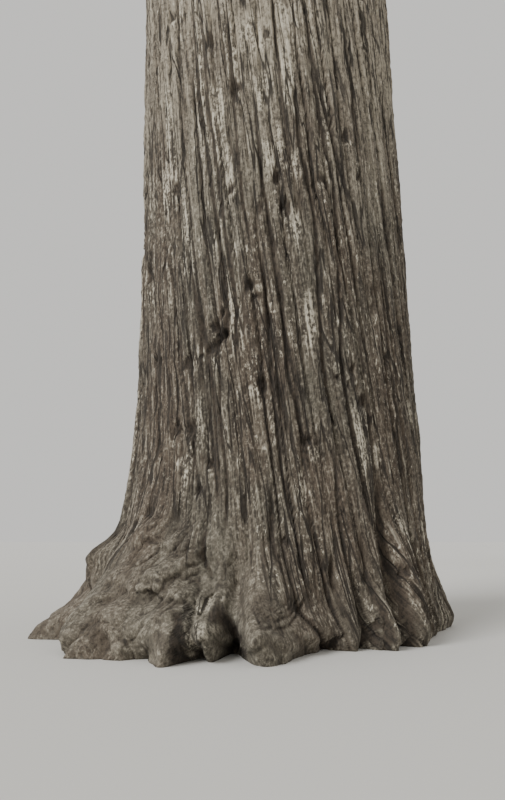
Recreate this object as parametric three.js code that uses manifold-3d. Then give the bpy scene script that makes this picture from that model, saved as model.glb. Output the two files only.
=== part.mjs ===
// A coast redwood as closed solids: one trunk, its boughs, and the masses of foliage that they carry.
// The frame has +Z up and its origin on the flat cut under the trunk. The view that the sizes were
// taken from looks along +Y, with +X to the right. Bearings run from +X towards +Y.

import * as THREE from "three";
import { mergeVertices } from "three/addons/utils/BufferGeometryUtils.js";
import Module from "manifold-3d";

const wasm = await Module();
wasm.setup();

// Driving sizes, in metres of the real tree. The model shows each of them as METRE millimetres.
const TREE_HEIGHT = 105.156;
const MODEL_HEIGHT = 40000;
const METRE = MODEL_HEIGHT / TREE_HEIGHT;

// Trunk: radius of the shaft at some heights, and the flare that widens its foot.
const SHAFT = [
  [0, 2.45],
  [11, 2.01],
  [30, 1.66],
  [50, 1.34],
  [70, 0.95],
  [85, 0.6],
  [96, 0.3],
  [TREE_HEIGHT, 0.03],
];
const FLARE = { reach: 0.8, rise: 1.15 };
const FOOT_SHIFT = { reach: 0.64, rise: 1.4 };
const LEAN = { slope: 0.04, straightens: 60 };
const SWAY = { reach: 0.22, wave: 31 };

// Swellings and clefts round the foot: bearing and spread in degrees, reach and rise in metres.
// The side that faces the view has its own list, and the far side repeats a lobe and a cleft.
const FOOT = [
  { bearing: -174, spread: 11, reach: 0.4, rise: 0.95 },
  { bearing: -159, spread: 6, reach: 0.62, rise: 0.4 },
  { bearing: -147, spread: 4, reach: -0.35, rise: 1 },
  { bearing: -126, spread: 16, reach: 0.88, rise: 1.3 },
  { bearing: -105, spread: 6, reach: 0.55, rise: 0.8 },
  { bearing: -101, spread: 2.5, reach: -0.5, rise: 0.75 },
  { bearing: -98, spread: 2.5, reach: 0.25, rise: 0.6 },
  { bearing: -93.5, spread: 3, reach: -0.62, rise: 0.95 },
  { bearing: -86, spread: 6, reach: 0.74, rise: 0.85 },
  { bearing: -68, spread: 6, reach: -0.34, rise: 1.1 },
  { bearing: -57, spread: 3, reach: -0.3, rise: 0.9 },
  { bearing: -52, spread: 3, reach: 0.2, rise: 1.1 },
  { bearing: -47, spread: 3, reach: -0.42, rise: 2 },
  { bearing: -40, spread: 5, reach: 0.16, rise: 1.6 },
  { bearing: -32, spread: 3, reach: -0.16, rise: 1.2 },
];
const FAR_SIDE = { from: -12, to: 172, lobes: 5, spread: 11, cleft: 5, reach: 0.4, rise: 1.3 };

// Crown: it is bare below the first bough, and its top masses stand on the trunk itself.
const CROWN = { foot: 36, leader: 91, top: 104.9, reach: 9.4 };
// The crown's outline: share of the way from its foot to the top of the tree, and share of its reach.
const CROWN_OUTLINE = [
  [-1, 0.6],
  [0, 0.78],
  [0.22, 1],
  [0.5, 0.88],
  [0.72, 0.64],
  [0.88, 0.36],
  [1, 0.1],
];
const GOLDEN_TURN = 2.39996;
// A limb starts at this share of the trunk's radius. Its lift is climb, less droop by the square
// of the way along it, plus curl by the cube. Pairs run from the lowest limb to the highest.
const LIMB_ROOT = 0.55;
const BOUGHS = {
  count: 25,
  crowding: 0.95,
  climb: [0.1, 0.75],
  droop: [0.95, 0.35],
  curl: 0.42,
  thick: [1.1, 0.6],
  spread: [1, 0.62],
};
const LEADERS = {
  count: 5,
  first: 91.5,
  last: 103.55,
  slope: 1.1,
  climb: [0.6, 1.1],
  droop: 0.3,
  curl: 0.1,
  thick: [0.7, 0.4],
  spread: [0.6, 0.34],
};
// How far one bough may differ from the next: metres, radians, and shares of its reach.
const UNEVEN = { height: 1.5, bearing: 0.45, reach: [0.84, 1.06], climb: 0.16, sweep: 0.5 };
const BOUGH = { share: 0.32, root: 0.34, end: 0.22, sides: 5, steps: 2 };
const STEM = { root: 0.24, end: 0.12, last: 0.96, sides: 3, steps: 3 };
// The foot of a twig is a share of its stem's radius, so that its root lies inside the stem. A
// twig is longest at the foot of its stem. Its tilt runs from down to up, as shares of steepest.
const TWIG = {
  count: 6,
  first: 0.05,
  last: 0.9,
  length: 3.1,
  taper: [1.1, 0.6],
  root: 0.42,
  end: 0.26,
  forward: 1.05,
  steepest: 1.15,
  tilt: [-1.1, 0.8],
  checked: [0.35, 0.7, 1],
};
const SPRAY = {
  length: 4.6,
  width: 2.9,
  thick: 0.22,
  crest: 0.5,
  roll: 1.1,
  droop: 0.5,
  tipSeat: 0.93,
  least: 0.7,
  sizes: [1, 0.8, 0.62],
};
// Seeded differences between twigs or sprays of a mass, as shares of their size or turn.
const TWIG_RANGE = [0.8, 1.2];
const SPRAY_RANGE = [0.85, 1.15];
// Where a twig carries its sprays: share of the twig, and the turn away from it in radians.
const SPRAY_SEATS = [
  [0.42, 1.0],
  [0.9, 0.45],
];
// The rim of a spray from its root to its tip: share of the length, and share of the width.
const SPRAY_RIM = [
  [0, 0],
  [0.44, 0.5],
  [0.66, 0.2],
  [1, 0],
  [0.66, -0.2],
  [0.44, -0.5],
];

// What each seeded number of a limb is for. Twigs and sprays add their own number to it.
const TURN = {
  height: 1,
  bearing: 2,
  reach: 3,
  climb: 4,
  sweep: 5,
  forward: 20,
  tilt: 30,
  length: 40,
  spray: 50,
  perTwig: 10,
  perSeat: 3,
  tipSpray: 140,
};

// Clearances: between faces that meet, between a spray and a limb, and between two masses.
const SEAT_GAP = 0.35 / METRE;
const LIMB_GAP = 0.12;
const MASS_GAP = 0.1;

// The trunk's rings: their spacing in metres, and how many points they have up to some heights.
const RINGS = { first: 0.34, growth: 1.34, most: 9 };
const RING_POINTS = { fine: 96, fineTo: 3, middle: 32, middleTo: 34, coarse: 16 };

const degrees = THREE.MathUtils.degToRad;
const mix = THREE.MathUtils.lerp;

// A number from 0 to 1 that depends only on which limb asks, and for what.
function draw(limb, turn) {
  const x = Math.sin(limb * 127.1 + turn * 311.7) * 43758.5453;
  return x - Math.floor(x);
}

// Reads a list of [place, value] pairs, with a straight run between two of them.
function along(pairs, place) {
  const last = pairs.length - 1;
  if (place >= pairs[last][0]) return pairs[last][1];
  const next = pairs.findIndex(([p]) => p > place);
  const [p0, v0] = pairs[next - 1];
  const [p1, v1] = pairs[next];
  return mix(v0, v1, (place - p0) / (p1 - p0));
}

// Trunk

function trunkAxis(height) {
  const shift = FOOT_SHIFT.reach * (1 - Math.exp(-height / FOOT_SHIFT.rise));
  const lean = LEAN.slope * LEAN.straightens * (1 - Math.exp(-height / LEAN.straightens));
  const sway = SWAY.reach * Math.sin(height / SWAY.wave) * Math.min(1, height / SWAY.wave);
  return new THREE.Vector3(shift - lean, sway, height);
}

function shaftRadius(height) {
  return along(SHAFT, height) + FLARE.reach * Math.exp(-height / FLARE.rise);
}

function footLobes() {
  const lobes = [...FOOT];
  const step = (FAR_SIDE.to - FAR_SIDE.from) / FAR_SIDE.lobes;
  for (let k = 0; k < FAR_SIDE.lobes; k++) {
    const bearing = FAR_SIDE.from + (k + 0.5) * step;
    const reach = FAR_SIDE.reach * mix(0.8, 1.2, draw(k, 1));
    lobes.push({ bearing, spread: FAR_SIDE.spread, reach, rise: FAR_SIDE.rise });
    lobes.push({
      bearing: bearing + step / 2,
      spread: FAR_SIDE.cleft,
      reach: -reach / 2,
      rise: FAR_SIDE.rise * mix(1, 1.5, draw(k, 2)),
    });
  }
  return lobes;
}
const LOBES = footLobes();

// The lobes keep their bearing from the origin, while the axis moves away from it above them.
function trunkRadius(bearing, height) {
  const axis = trunkAxis(height);
  const shaft = shaftRadius(height);
  const fromOrigin = Math.atan2(axis.y + shaft * Math.sin(bearing), axis.x + shaft * Math.cos(bearing));
  let radius = shaft;
  for (const lobe of LOBES) {
    const away = fromOrigin - degrees(lobe.bearing);
    const off = Math.atan2(Math.sin(away), Math.cos(away)) / degrees(lobe.spread);
    radius += lobe.reach * Math.exp(-off * off) * Math.exp(-Math.pow(height / lobe.rise, 2));
  }
  return radius;
}

function ringHeights() {
  const heights = [0];
  let step = RINGS.first;
  while (heights.at(-1) + step < TREE_HEIGHT) {
    heights.push(heights.at(-1) + step);
    step = Math.min(step * RINGS.growth, RINGS.most);
  }
  heights[heights.length - 1] = TREE_HEIGHT;
  return heights;
}

function ringCount(height) {
  if (height <= RING_POINTS.fineTo) return RING_POINTS.fine;
  return height <= RING_POINTS.middleTo ? RING_POINTS.middle : RING_POINTS.coarse;
}

// The trunk as rings of points joined by triangles. A ring may have a half or a third of the
// points of the one under it. grown is an offset that the clearance of its neighbours is cut with.
function trunkGeometry(grown) {
  const points = [];
  const faces = [];
  const rings = ringHeights().map((height) => {
    const count = ringCount(height);
    const axis = trunkAxis(height);
    const first = points.length / 3;
    for (let k = 0; k < count; k++) {
      const bearing = (2 * Math.PI * k) / count;
      const radius = trunkRadius(bearing, height) + grown;
      points.push(axis.x + radius * Math.cos(bearing), axis.y + radius * Math.sin(bearing), height);
    }
    return { first, count, axis };
  });
  const at = (ring, k) => ring.first + (k % ring.count);
  for (let r = 1; r < rings.length; r++) {
    const [low, high] = [rings[r - 1], rings[r]];
    const each = low.count / high.count;
    for (let k = 0; k < high.count; k++) {
      const start = k * each;
      const last = start + each - 1;
      for (let n = start; n < last; n++) faces.push(at(low, n), at(low, n + 1), at(high, k));
      faces.push(at(low, last), at(high, k + 1), at(high, k));
      faces.push(at(low, last), at(low, last + 1), at(high, k + 1));
    }
  }
  for (const [ring, turn] of [[rings[0], -1], [rings.at(-1), 1]]) {
    const centre = points.length / 3;
    points.push(ring === rings[0] ? 0 : ring.axis.x, ring === rings[0] ? 0 : ring.axis.y, ring.axis.z);
    for (let k = 0; k < ring.count; k++) {
      const edge = [at(ring, k), at(ring, k + 1)];
      faces.push(centre, ...(turn > 0 ? edge : edge.reverse()));
    }
  }
  const geometry = new THREE.BufferGeometry();
  geometry.setAttribute("position", new THREE.Float32BufferAttribute(points, 3));
  geometry.setIndex(faces);
  return geometry.scale(METRE, METRE, METRE);
}

// Limbs. A limb runs from the trunk to the edge of the crown. Its first part is a bough, and
// the rest is the stem of a mass. Share 0 is at the trunk, and share 1 at the tip.

function crownReach(height) {
  const up = (height - CROWN.foot) / (TREE_HEIGHT - CROWN.foot);
  return CROWN.reach * along(CROWN_OUTLINE, up);
}

function boughLimb(i) {
  const up = (i + 0.5) / BOUGHS.count;
  const even = (turn) => draw(i, turn) - 0.5;
  const level = mix(CROWN.foot, CROWN.leader, Math.pow(up, BOUGHS.crowding));
  const height = level + even(TURN.height) * UNEVEN.height;
  return {
    id: i,
    height,
    bearing: i * GOLDEN_TURN + even(TURN.bearing) * UNEVEN.bearing,
    reach: crownReach(height) * mix(...UNEVEN.reach, draw(i, TURN.reach)),
    climb: mix(...BOUGHS.climb, up) + even(TURN.climb) * UNEVEN.climb,
    droop: mix(...BOUGHS.droop, up),
    curl: BOUGHS.curl,
    sweep: even(TURN.sweep) * UNEVEN.sweep,
    share: BOUGH.share,
    thick: mix(...BOUGHS.thick, up),
    spread: mix(...BOUGHS.spread, up),
  };
}

function leaderLimb(k) {
  const up = (k + 0.5) / LEADERS.count;
  const height = mix(LEADERS.first, LEADERS.last, up);
  return {
    id: BOUGHS.count + k,
    height,
    bearing: (BOUGHS.count + k) * GOLDEN_TURN,
    reach: Math.min(crownReach(height), (CROWN.top - height) * LEADERS.slope),
    climb: mix(...LEADERS.climb, up),
    droop: LEADERS.droop,
    curl: LEADERS.curl,
    sweep: 0,
    share: 0,
    thick: mix(...LEADERS.thick, up),
    spread: mix(...LEADERS.spread, up),
  };
}

const LIMBS = [];
for (let i = 0; i < BOUGHS.count; i++) LIMBS.push(boughLimb(i));
for (let k = 0; k < LEADERS.count; k++) LIMBS.push(leaderLimb(k));

function limbPoint(limb, share) {
  const root = trunkAxis(limb.height);
  const start = shaftRadius(limb.height) * LIMB_ROOT;
  const out = start + (limb.reach - start) * share;
  const lift = limb.climb * share - limb.droop * share ** 2 + limb.curl * share ** 3;
  const bearing = limb.bearing + limb.sweep * share * share;
  return new THREE.Vector3(
    root.x + out * Math.cos(bearing),
    root.y + out * Math.sin(bearing),
    limb.height + (limb.reach - start) * lift,
  );
}

function limbDirection(limb, share) {
  const step = 0.01;
  return limbPoint(limb, share + step).sub(limbPoint(limb, share - step)).normalize();
}

const UP = new THREE.Vector3(0, 0, 1);

// Three directions at right angles: along, then level to one side, then upwards.
function frameOf(direction) {
  const side = new THREE.Vector3().crossVectors(UP, direction).normalize();
  return [direction.clone(), side, new THREE.Vector3().crossVectors(direction, side)];
}

// A tapered round bar that is bent to follow path(share), which gives its centre and direction.
function taperedBar(path, radii, sides, steps) {
  const bar = new THREE.CylinderGeometry(1, 1, 1, sides, steps);
  const place = bar.getAttribute("position");
  for (let n = 0; n < place.count; n++) {
    const share = 0.5 - place.getY(n);
    const [centre, direction] = path(share);
    const [, side, up] = frameOf(direction);
    const radius = mix(radii[0], radii[1], share);
    centre.addScaledVector(side, place.getX(n) * radius).addScaledVector(up, place.getZ(n) * radius);
    place.setXYZ(n, centre.x, centre.y, centre.z);
  }
  return bar.scale(METRE, METRE, METRE);
}

function straightPath(from, to) {
  const direction = to.clone().sub(from).normalize();
  return (share) => [from.clone().lerp(to, share), direction];
}

// Solids

function solidOf(geometry) {
  const plain = new THREE.BufferGeometry();
  plain.setAttribute("position", geometry.getAttribute("position"));
  plain.setIndex(geometry.getIndex());
  const merged = mergeVertices(plain, 1e-3);
  return new wasm.Manifold(
    new wasm.Mesh({
      numProp: 3,
      vertProperties: merged.getAttribute("position").array,
      triVerts: new Uint32Array(merged.getIndex().array),
    }),
  );
}

// The largest of a solid's separate bodies: a scrap that a cut leaves loose is dropped.
function mainBody(solid) {
  const bodies = solid.decompose();
  return bodies.reduce((a, b) => (b.volume() > a.volume() ? b : a));
}

function geometryOf(solid) {
  const mesh = solid.getMesh();
  const geometry = new THREE.BufferGeometry();
  geometry.setAttribute("position", new THREE.BufferAttribute(new Float32Array(mesh.vertProperties), 3));
  geometry.setIndex(new THREE.BufferAttribute(new Uint32Array(mesh.triVerts), 1));
  geometry.computeVertexNormals();
  return geometry;
}

// Clearances

function distanceToLine(point, line) {
  let nearest = Infinity;
  for (let n = 1; n < line.length; n++) {
    const foot = new THREE.Line3(line[n - 1], line[n]).closestPointToPoint(point, true, new THREE.Vector3());
    nearest = Math.min(nearest, foot.distanceTo(point));
  }
  return nearest;
}

function limbLine(limb, from, to, steps) {
  const line = [];
  for (let n = 0; n <= steps; n++) line.push(limbPoint(limb, mix(from, to, n / steps)));
  return line;
}

const BOUGH_LINES = LIMBS.map((limb) => (limb.share ? limbLine(limb, 0, limb.share, BOUGH.steps) : null));
const STEM_LINES = LIMBS.map((limb) => limbLine(limb, limb.share, 1, STEM.steps));

function clearOfLimbs(point) {
  const axis = trunkAxis(point.z);
  const fromTrunk = Math.hypot(point.x - axis.x, point.y - axis.y);
  if (fromTrunk < shaftRadius(point.z) + LIMB_GAP) return false;
  return LIMBS.every((limb, n) => {
    if (!BOUGH_LINES[n]) return true;
    return distanceToLine(point, BOUGH_LINES[n]) > BOUGH.root * limb.thick + LIMB_GAP;
  });
}

// A mass keeps to the points that are nearer to its own stem than to any other.
function inOwnSpace(point, own) {
  const near = distanceToLine(point, STEM_LINES[own]) + MASS_GAP;
  const isNearest = STEM_LINES.every((line, n) => n === own || distanceToLine(point, line) > near);
  return isNearest && point.z < CROWN.top;
}

function fits(points, own) {
  return points.every((point) => inOwnSpace(point, own) && clearOfLimbs(point));
}

// Foliage

// A toothed blade: a flat double pyramid whose rim follows SPRAY_RIM, rooted at a point.
function sprayBlade(root, direction, lean, size) {
  const blade = new THREE.SphereGeometry(1, SPRAY_RIM.length, 2);
  const place = blade.getAttribute("position");
  const [ahead, side, up] = frameOf(direction);
  side.applyAxisAngle(ahead, lean);
  up.applyAxisAngle(ahead, lean);
  const rim = [];
  for (let n = 0; n < place.count; n++) {
    const pole = Math.round(place.getY(n));
    const turn = Math.atan2(place.getZ(n), -place.getX(n)) / (2 * Math.PI);
    const tooth = (Math.round(turn * SPRAY_RIM.length) + SPRAY_RIM.length) % SPRAY_RIM.length;
    const [out, across] = pole ? [SPRAY.crest, 0] : SPRAY_RIM[tooth];
    const point = root
      .clone()
      .addScaledVector(ahead, out * SPRAY.length * size)
      .addScaledVector(side, -across * SPRAY.width * size)
      .addScaledVector(up, (pole * SPRAY.thick * size) / 2);
    place.setXYZ(n, point.x, point.y, point.z);
    if (out > 0) rim.push(point);
  }
  return { geometry: blade.scale(METRE, METRE, METRE), rim };
}

// Twigs leave the stem in turn to both sides, some of them upwards and more of them downwards.
function twigDirection(limb, share, n) {
  const [ahead, side, up] = frameOf(limbDirection(limb, share));
  const hand = n % 2 ? -1 : 1;
  const forward = TWIG.forward * mix(...TWIG_RANGE, draw(limb.id, TURN.forward + n));
  const tilt = TWIG.steepest * mix(...TWIG.tilt, draw(limb.id, TURN.tilt + n));
  return ahead
    .multiplyScalar(Math.cos(forward))
    .addScaledVector(side, hand * Math.sin(forward) * Math.cos(tilt))
    .addScaledVector(up, Math.sin(forward) * Math.sin(tilt))
    .normalize();
}

function sprayDirection(direction, away, id, turn) {
  const [ahead, side] = frameOf(direction);
  const splay = away * mix(...SPRAY_RANGE, draw(id, turn));
  return ahead
    .multiplyScalar(Math.cos(splay))
    .addScaledVector(side, Math.sin(splay))
    .addScaledVector(UP, -SPRAY.droop * draw(id, turn + 1))
    .normalize();
}

// The twigs of one mass: where each one starts and ends, and which way it points.
function twigsOf(limb) {
  const twigs = [];
  for (let n = 0; n < TWIG.count; n++) {
    const share = mix(limb.share + TWIG.first, TWIG.last, n / (TWIG.count - 1));
    const out = (share - limb.share) / (1 - limb.share);
    const from = limbPoint(limb, share);
    const direction = twigDirection(limb, share, n);
    const uneven = mix(...TWIG_RANGE, draw(limb.id, TURN.length + n));
    const length = TWIG.length * limb.spread * mix(...TWIG.taper, out) * uneven;
    const to = from.clone().addScaledVector(direction, length);
    const checks = TWIG.checked.map((part) => from.clone().lerp(to, part));
    const thick = mix(STEM.root, STEM.end, out) * limb.thick;
    if (fits(checks, limb.id)) twigs.push({ n, from, to, direction, thick });
  }
  return twigs;
}

// The twigs and sprays of one mass, as solids that are ready to be fused to its stem.
function massPieces(limb, stem) {
  const twigs = twigsOf(limb);
  const bars = twigs.map(({ from, to, thick }) =>
    solidOf(taperedBar(straightPath(from, to), [TWIG.root * thick, TWIG.end * thick], STEM.sides, 1)),
  );
  const sprays = [];
  const addSpray = (root, direction, turn, carrier) => {
    const others = [stem, ...bars].filter((piece) => piece !== carrier);
    const roll = SPRAY.roll * mix(-1, 1, draw(limb.id, turn));
    const full = mix(SPRAY.least, 1, limb.spread) * mix(...SPRAY_RANGE, draw(limb.id, turn + 2));
    for (const size of SPRAY.sizes) {
      const { geometry, rim } = sprayBlade(root, direction, roll, full * size);
      if (!fits(rim, limb.id)) continue;
      const spray = solidOf(geometry);
      if ([...others, ...sprays].some((other) => !other.intersect(spray).isEmpty())) continue;
      sprays.push(spray);
      return;
    }
  };
  twigs.forEach(({ n, from, to, direction }, t) => {
    SPRAY_SEATS.forEach(([part, away], k) => {
      const turn = TURN.spray + TURN.perTwig * n + TURN.perSeat * k;
      const hand = (n + k) % 2 ? -1 : 1;
      const aim = sprayDirection(direction, hand * away, limb.id, turn);
      addSpray(from.clone().lerp(to, part), aim, turn, bars[t]);
    });
  });
  addSpray(limbPoint(limb, SPRAY.tipSeat), limbDirection(limb, SPRAY.tipSeat), TURN.tipSpray, stem);
  return [...bars, ...sprays];
}

function stemBar(limb) {
  const ahead = limb.share ? SEAT_GAP : 0;
  const path = (share) => {
    const place = mix(limb.share, STEM.last, share);
    const direction = limbDirection(limb, place);
    return [limbPoint(limb, place).addScaledVector(direction, ahead), direction];
  };
  const radii = [STEM.root * limb.thick, STEM.end * limb.thick];
  return solidOf(taperedBar(path, radii, STEM.sides, STEM.steps));
}

function boughBar(limb) {
  const path = (share) => [limbPoint(limb, share * limb.share), limbDirection(limb, share * limb.share)];
  const radii = [BOUGH.root * limb.thick, BOUGH.end * limb.thick];
  return solidOf(taperedBar(path, radii, BOUGH.sides, BOUGH.steps));
}

// Assembly

const BARK = new THREE.MeshStandardMaterial({ color: 0x6f6152, roughness: 0.95, metalness: 0 });
const BOUGH_BARK = new THREE.MeshStandardMaterial({ color: 0x5f5043, roughness: 0.95, metalness: 0 });
const NEEDLES = new THREE.MeshStandardMaterial({ color: 0x3f5231, roughness: 0.8, metalness: 0 });

const tree = new THREE.Group();

function add(name, geometry, material) {
  const mesh = new THREE.Mesh(geometry, material);
  mesh.name = name;
  tree.add(mesh);
}

const numbered = (word, n) => `${word}_${String(n + 1).padStart(2, "0")}`;

const trunk = trunkGeometry(0);
const clearOfTrunk = solidOf(trunkGeometry(SEAT_GAP));
add("trunk", trunk, BARK);
LIMBS.forEach((limb, n) => {
  const stem = stemBar(limb);
  const mass = wasm.Manifold.union([stem, ...massPieces(limb, stem)]);
  if (limb.share) {
    const bough = boughBar(limb).subtract(clearOfTrunk);
    add(numbered("bough", n), geometryOf(mainBody(bough)), BOUGH_BARK);
    add(numbered("foliage", n), geometryOf(mainBody(mass)), NEEDLES);
  } else {
    const name = numbered("leader_foliage", n - BOUGHS.count);
    add(name, geometryOf(mainBody(mass.subtract(clearOfTrunk))), NEEDLES);
  }
});

export default tree;
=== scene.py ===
# A coast redwood with its bark, boughs, twigs and needles, built round the solids of the same tree.
# The frame is in metres with +Z up. Growth is worked out in metres of the real tree, which the
# model shows at SCALE, and bearings run from +X towards +Y.

import math

import bpy
import numpy as np
from bpy.props import FloatProperty, FloatVectorProperty, IntProperty, PointerProperty
from bpy.types import Operator, Panel, PropertyGroup
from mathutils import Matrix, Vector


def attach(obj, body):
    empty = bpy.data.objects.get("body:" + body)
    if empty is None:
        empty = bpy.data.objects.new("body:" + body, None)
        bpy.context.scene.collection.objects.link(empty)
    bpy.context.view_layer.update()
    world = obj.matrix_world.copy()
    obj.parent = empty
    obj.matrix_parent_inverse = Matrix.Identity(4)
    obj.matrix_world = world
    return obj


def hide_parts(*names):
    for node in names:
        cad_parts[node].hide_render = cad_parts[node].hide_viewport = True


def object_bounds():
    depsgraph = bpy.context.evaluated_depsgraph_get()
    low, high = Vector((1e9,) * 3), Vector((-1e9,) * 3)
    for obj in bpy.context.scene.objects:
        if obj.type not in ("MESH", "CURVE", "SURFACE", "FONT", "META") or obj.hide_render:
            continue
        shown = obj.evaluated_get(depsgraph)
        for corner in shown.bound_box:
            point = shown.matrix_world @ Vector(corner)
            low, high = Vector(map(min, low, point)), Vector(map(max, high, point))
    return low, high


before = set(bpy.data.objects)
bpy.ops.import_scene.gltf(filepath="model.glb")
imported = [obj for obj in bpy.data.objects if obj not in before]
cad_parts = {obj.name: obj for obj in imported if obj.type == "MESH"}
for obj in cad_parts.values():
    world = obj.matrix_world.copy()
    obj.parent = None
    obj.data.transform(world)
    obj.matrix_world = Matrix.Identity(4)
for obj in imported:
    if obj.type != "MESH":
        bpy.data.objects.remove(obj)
SOLID_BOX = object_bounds()

bl_info = {
    "name": "Coast Redwood",
    "version": (1, 0, 0),
    "blender": (4, 5, 0),
    "location": "3D View > Sidebar > Redwood",
    "description": "Builds a coast redwood with furrowed bark and a crown of needle sprays",
    "category": "Object",
}

# The tree's driving sizes, in metres of the real tree. They are the ones that its solids have.
TREE_HEIGHT = 105.156
SCALE = 40 / TREE_HEIGHT
SHAFT = [
    (0, 2.45), (11, 2.01), (30, 1.66), (50, 1.34), (70, 0.95), (85, 0.6), (96, 0.3), (TREE_HEIGHT, 0.03),
]
FLARE_REACH, FLARE_RISE = 0.8, 1.15
FOOT_SHIFT_REACH, FOOT_SHIFT_RISE = 0.64, 1.4
LEAN_SLOPE, LEAN_STRAIGHTENS = 0.04, 60
SWAY_REACH, SWAY_WAVE = 0.22, 31

# Swellings and clefts round the foot: bearing and spread in degrees, reach and rise in metres.
FOOT = [
    (-174, 11, 0.4, 0.95), (-159, 6, 0.62, 0.4), (-147, 4, -0.35, 1.0), (-126, 16, 0.88, 1.3),
    (-105, 6, 0.55, 0.8), (-101, 2.5, -0.5, 0.75), (-98, 2.5, 0.25, 0.6), (-93.5, 3, -0.62, 0.95),
    (-86, 6, 0.74, 0.85), (-68, 6, -0.34, 1.1), (-57, 3, -0.3, 0.9), (-52, 3, 0.2, 1.1),
    (-47, 3, -0.42, 2.0), (-40, 5, 0.16, 1.6), (-32, 3, -0.16, 1.2),
]
FAR_SIDE = {"from": -12, "to": 172, "lobes": 5, "spread": 11, "cleft": 5, "reach": 0.4, "rise": 1.3}
LOBE_REACHES, CLEFT_RISES = (0.8, 1.2), (1, 1.5)

# The crown's limbs, as the solids grow them. CROWN_OUTLINE goes by the share of the way up the
# crown, a pair in a form is what limbs tend to at its lower and its upper end, and BOUGH_REACHES
# is the least and the most that a draw gives.
CROWN_FOOT, CROWN_LEADER, CROWN_TOP, CROWN_REACH = 36, 91, 104.9, 9.4
CROWN_OUTLINE = [(-1, 0.6), (0, 0.78), (0.22, 1), (0.5, 0.88), (0.72, 0.64), (0.88, 0.36), (1, 0.1)]
LIMB_SEAT, GOLDEN_TURN = 0.55, 2.39996
BOUGH_COUNT, BOUGH_CROWDING, BOUGH_REACHES = 25, 0.95, (0.84, 1.06)
BOUGH_FORM = {
    "climb": (0.1, 0.75), "droop": (0.95, 0.35), "curl": (0.42, 0.42),
    "thick": (1.1, 0.6), "spread": (1, 0.62),
}
HEIGHT_STRAY, BEARING_STRAY, CLIMB_STRAY, SWEEP_STRAY = 1.5, 0.45, 0.16, 0.5
LEADER_COUNT, LEADER_FIRST, LEADER_LAST, LEADER_SLOPE = 5, 91.5, 103.55, 1.1
LEADER_FORM = {
    "climb": (0.6, 1.1), "droop": (0.3, 0.3), "curl": (0.1, 0.1),
    "thick": (0.7, 0.4), "spread": (0.6, 0.34),
}
BOUGH_SHARE, BOUGH_ROOT, BOUGH_END = 0.32, 0.34, 0.22
STEM_ROOT, STEM_END, STEM_STEPS = 0.24, 0.12, 3
LIMB_GAP, MASS_GAP = 0.12, 0.1

# Twigs: where the first and the last one stand on a stem, how they turn away from it, and which
# places of a twig have to be clear.
TWIG_COUNT, TWIG_LENGTH, TWIG_FORWARD, TWIG_STEEPEST = 6, 3.1, 1.05, 1.15
TWIG_FIRST, TWIG_LAST, TWIG_UTMOST = 0.05, 0.9, 0.97
TWIG_FORWARDS, TWIG_TILTS, TWIG_LENGTHS, TWIG_SHORTENS = (0.8, 1.2), (-1.1, 0.8), (0.8, 1.2), (1.1, 0.6)
TWIG_CHECKS = (0.35, 0.7, 1.0)

# Sprays: each seat is a share of the twig and an angle away from it. The solids have the seats
# of the first list.
SPRAY_LENGTH, SPRAY_WIDTH, SPRAY_ROLL, SPRAY_DROOP = 4.6, 2.9, 1.1, 0.5
SPRAY_SIZES, SPRAY_FULL = (1, 0.8, 0.62), (0.7, 1)
SPRAY_SEATS = [(0.42, 1.0), (0.9, 0.45)]
FINE_SEATS, FINE_SIZE = [(0.25, -1.1), (0.62, 0.95), (1.0, 0.2)], 0.62
SPRAY_RIM = [(0.44, 0.5), (0.66, 0.2), (1, 0), (0.66, -0.2), (0.44, -0.5)]
SPRAY_STRAYS, TIP_PLACE = (0.85, 1.15), 0.93

# Which draw settles what. A twig adds its number, and a spray those of its twig and its seat.
LOBE_DRAW, CLEFT_DRAW = 1, 2
HEIGHT_DRAW, BEARING_DRAW, REACH_DRAW, CLIMB_DRAW, SWEEP_DRAW = 1, 2, 3, 4, 5
FORWARD_DRAW, TILT_DRAW, LENGTH_DRAW = 20, 30, 40
SPRAY_DRAW, TWIG_STEP, SEAT_STEP, FINE_STEP, ROUND_STEP = 50, 10, 3, 1000, 100
TIP_ROLL_DRAW, TIP_SIZE_DRAW = 140, 142
HOLE_DRAW = 61

# What a draw multiplies its limb, its turn and its sine by.
DRAW_LIMB, DRAW_TURN, DRAW_SINE = 127.1, 311.7, 43758.5453

UP = np.array([0.0, 0.0, 1.0])


# Settings that a user would change

def colour_setting(name, description, default):
    return FloatVectorProperty(
        name=name, description=description, default=default, subtype="COLOR", size=3, min=0, max=1)


def length_setting(name, description, default, least=0.01):
    return FloatProperty(name=name, description=description, default=default, min=least, unit="LENGTH")


class RedwoodBark(PropertyGroup):
    furrows: IntProperty(
        name="Furrows", description="Main furrows round the trunk", default=60, min=8)
    furrow_depth: length_setting(
        "Furrow depth", "Depth of the main furrows on the real tree", 0.055, least=0)
    furrow_width: length_setting(
        "Furrow width", "Half the width of a main furrow on the real tree", 0.026)
    wander: FloatProperty(
        name="Wander", description="How far a furrow wanders sideways, in ridges", default=1.5, min=0)
    burl_reach: length_setting(
        "Burl reach", "How far the lumps at the foot stand out", 0.2, least=0)
    columns: IntProperty(
        name="Columns", description="Faces round the lower trunk", default=720, min=72)
    ridge: colour_setting("Ridge", "Weathered bark on the ridges", (0.108, 0.095, 0.071))
    # High ridge is painted light: the ridges are painted paler higher up the trunk, where the light falls
    # brighter.
    high_ridge_painted_light: colour_setting(
        "High ridge", "Ridges above the reach of the damp ground", (0.46, 0.405, 0.312))
    heart: colour_setting("Fresh bark", "Bark where it has flaked", (0.098, 0.074, 0.052))
    # Furrow is partly the darker bark down in the furrows and partly painted shade, which the finish lays
    # in the furrows, creases, cracks, splits, holes and hollows.
    furrow: colour_setting("Furrow", "Bark down in the furrows", (0.024, 0.019, 0.014))
    bleached: colour_setting("Bleached", "Pale strips and flecks", (0.6, 0.55, 0.44))


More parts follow.
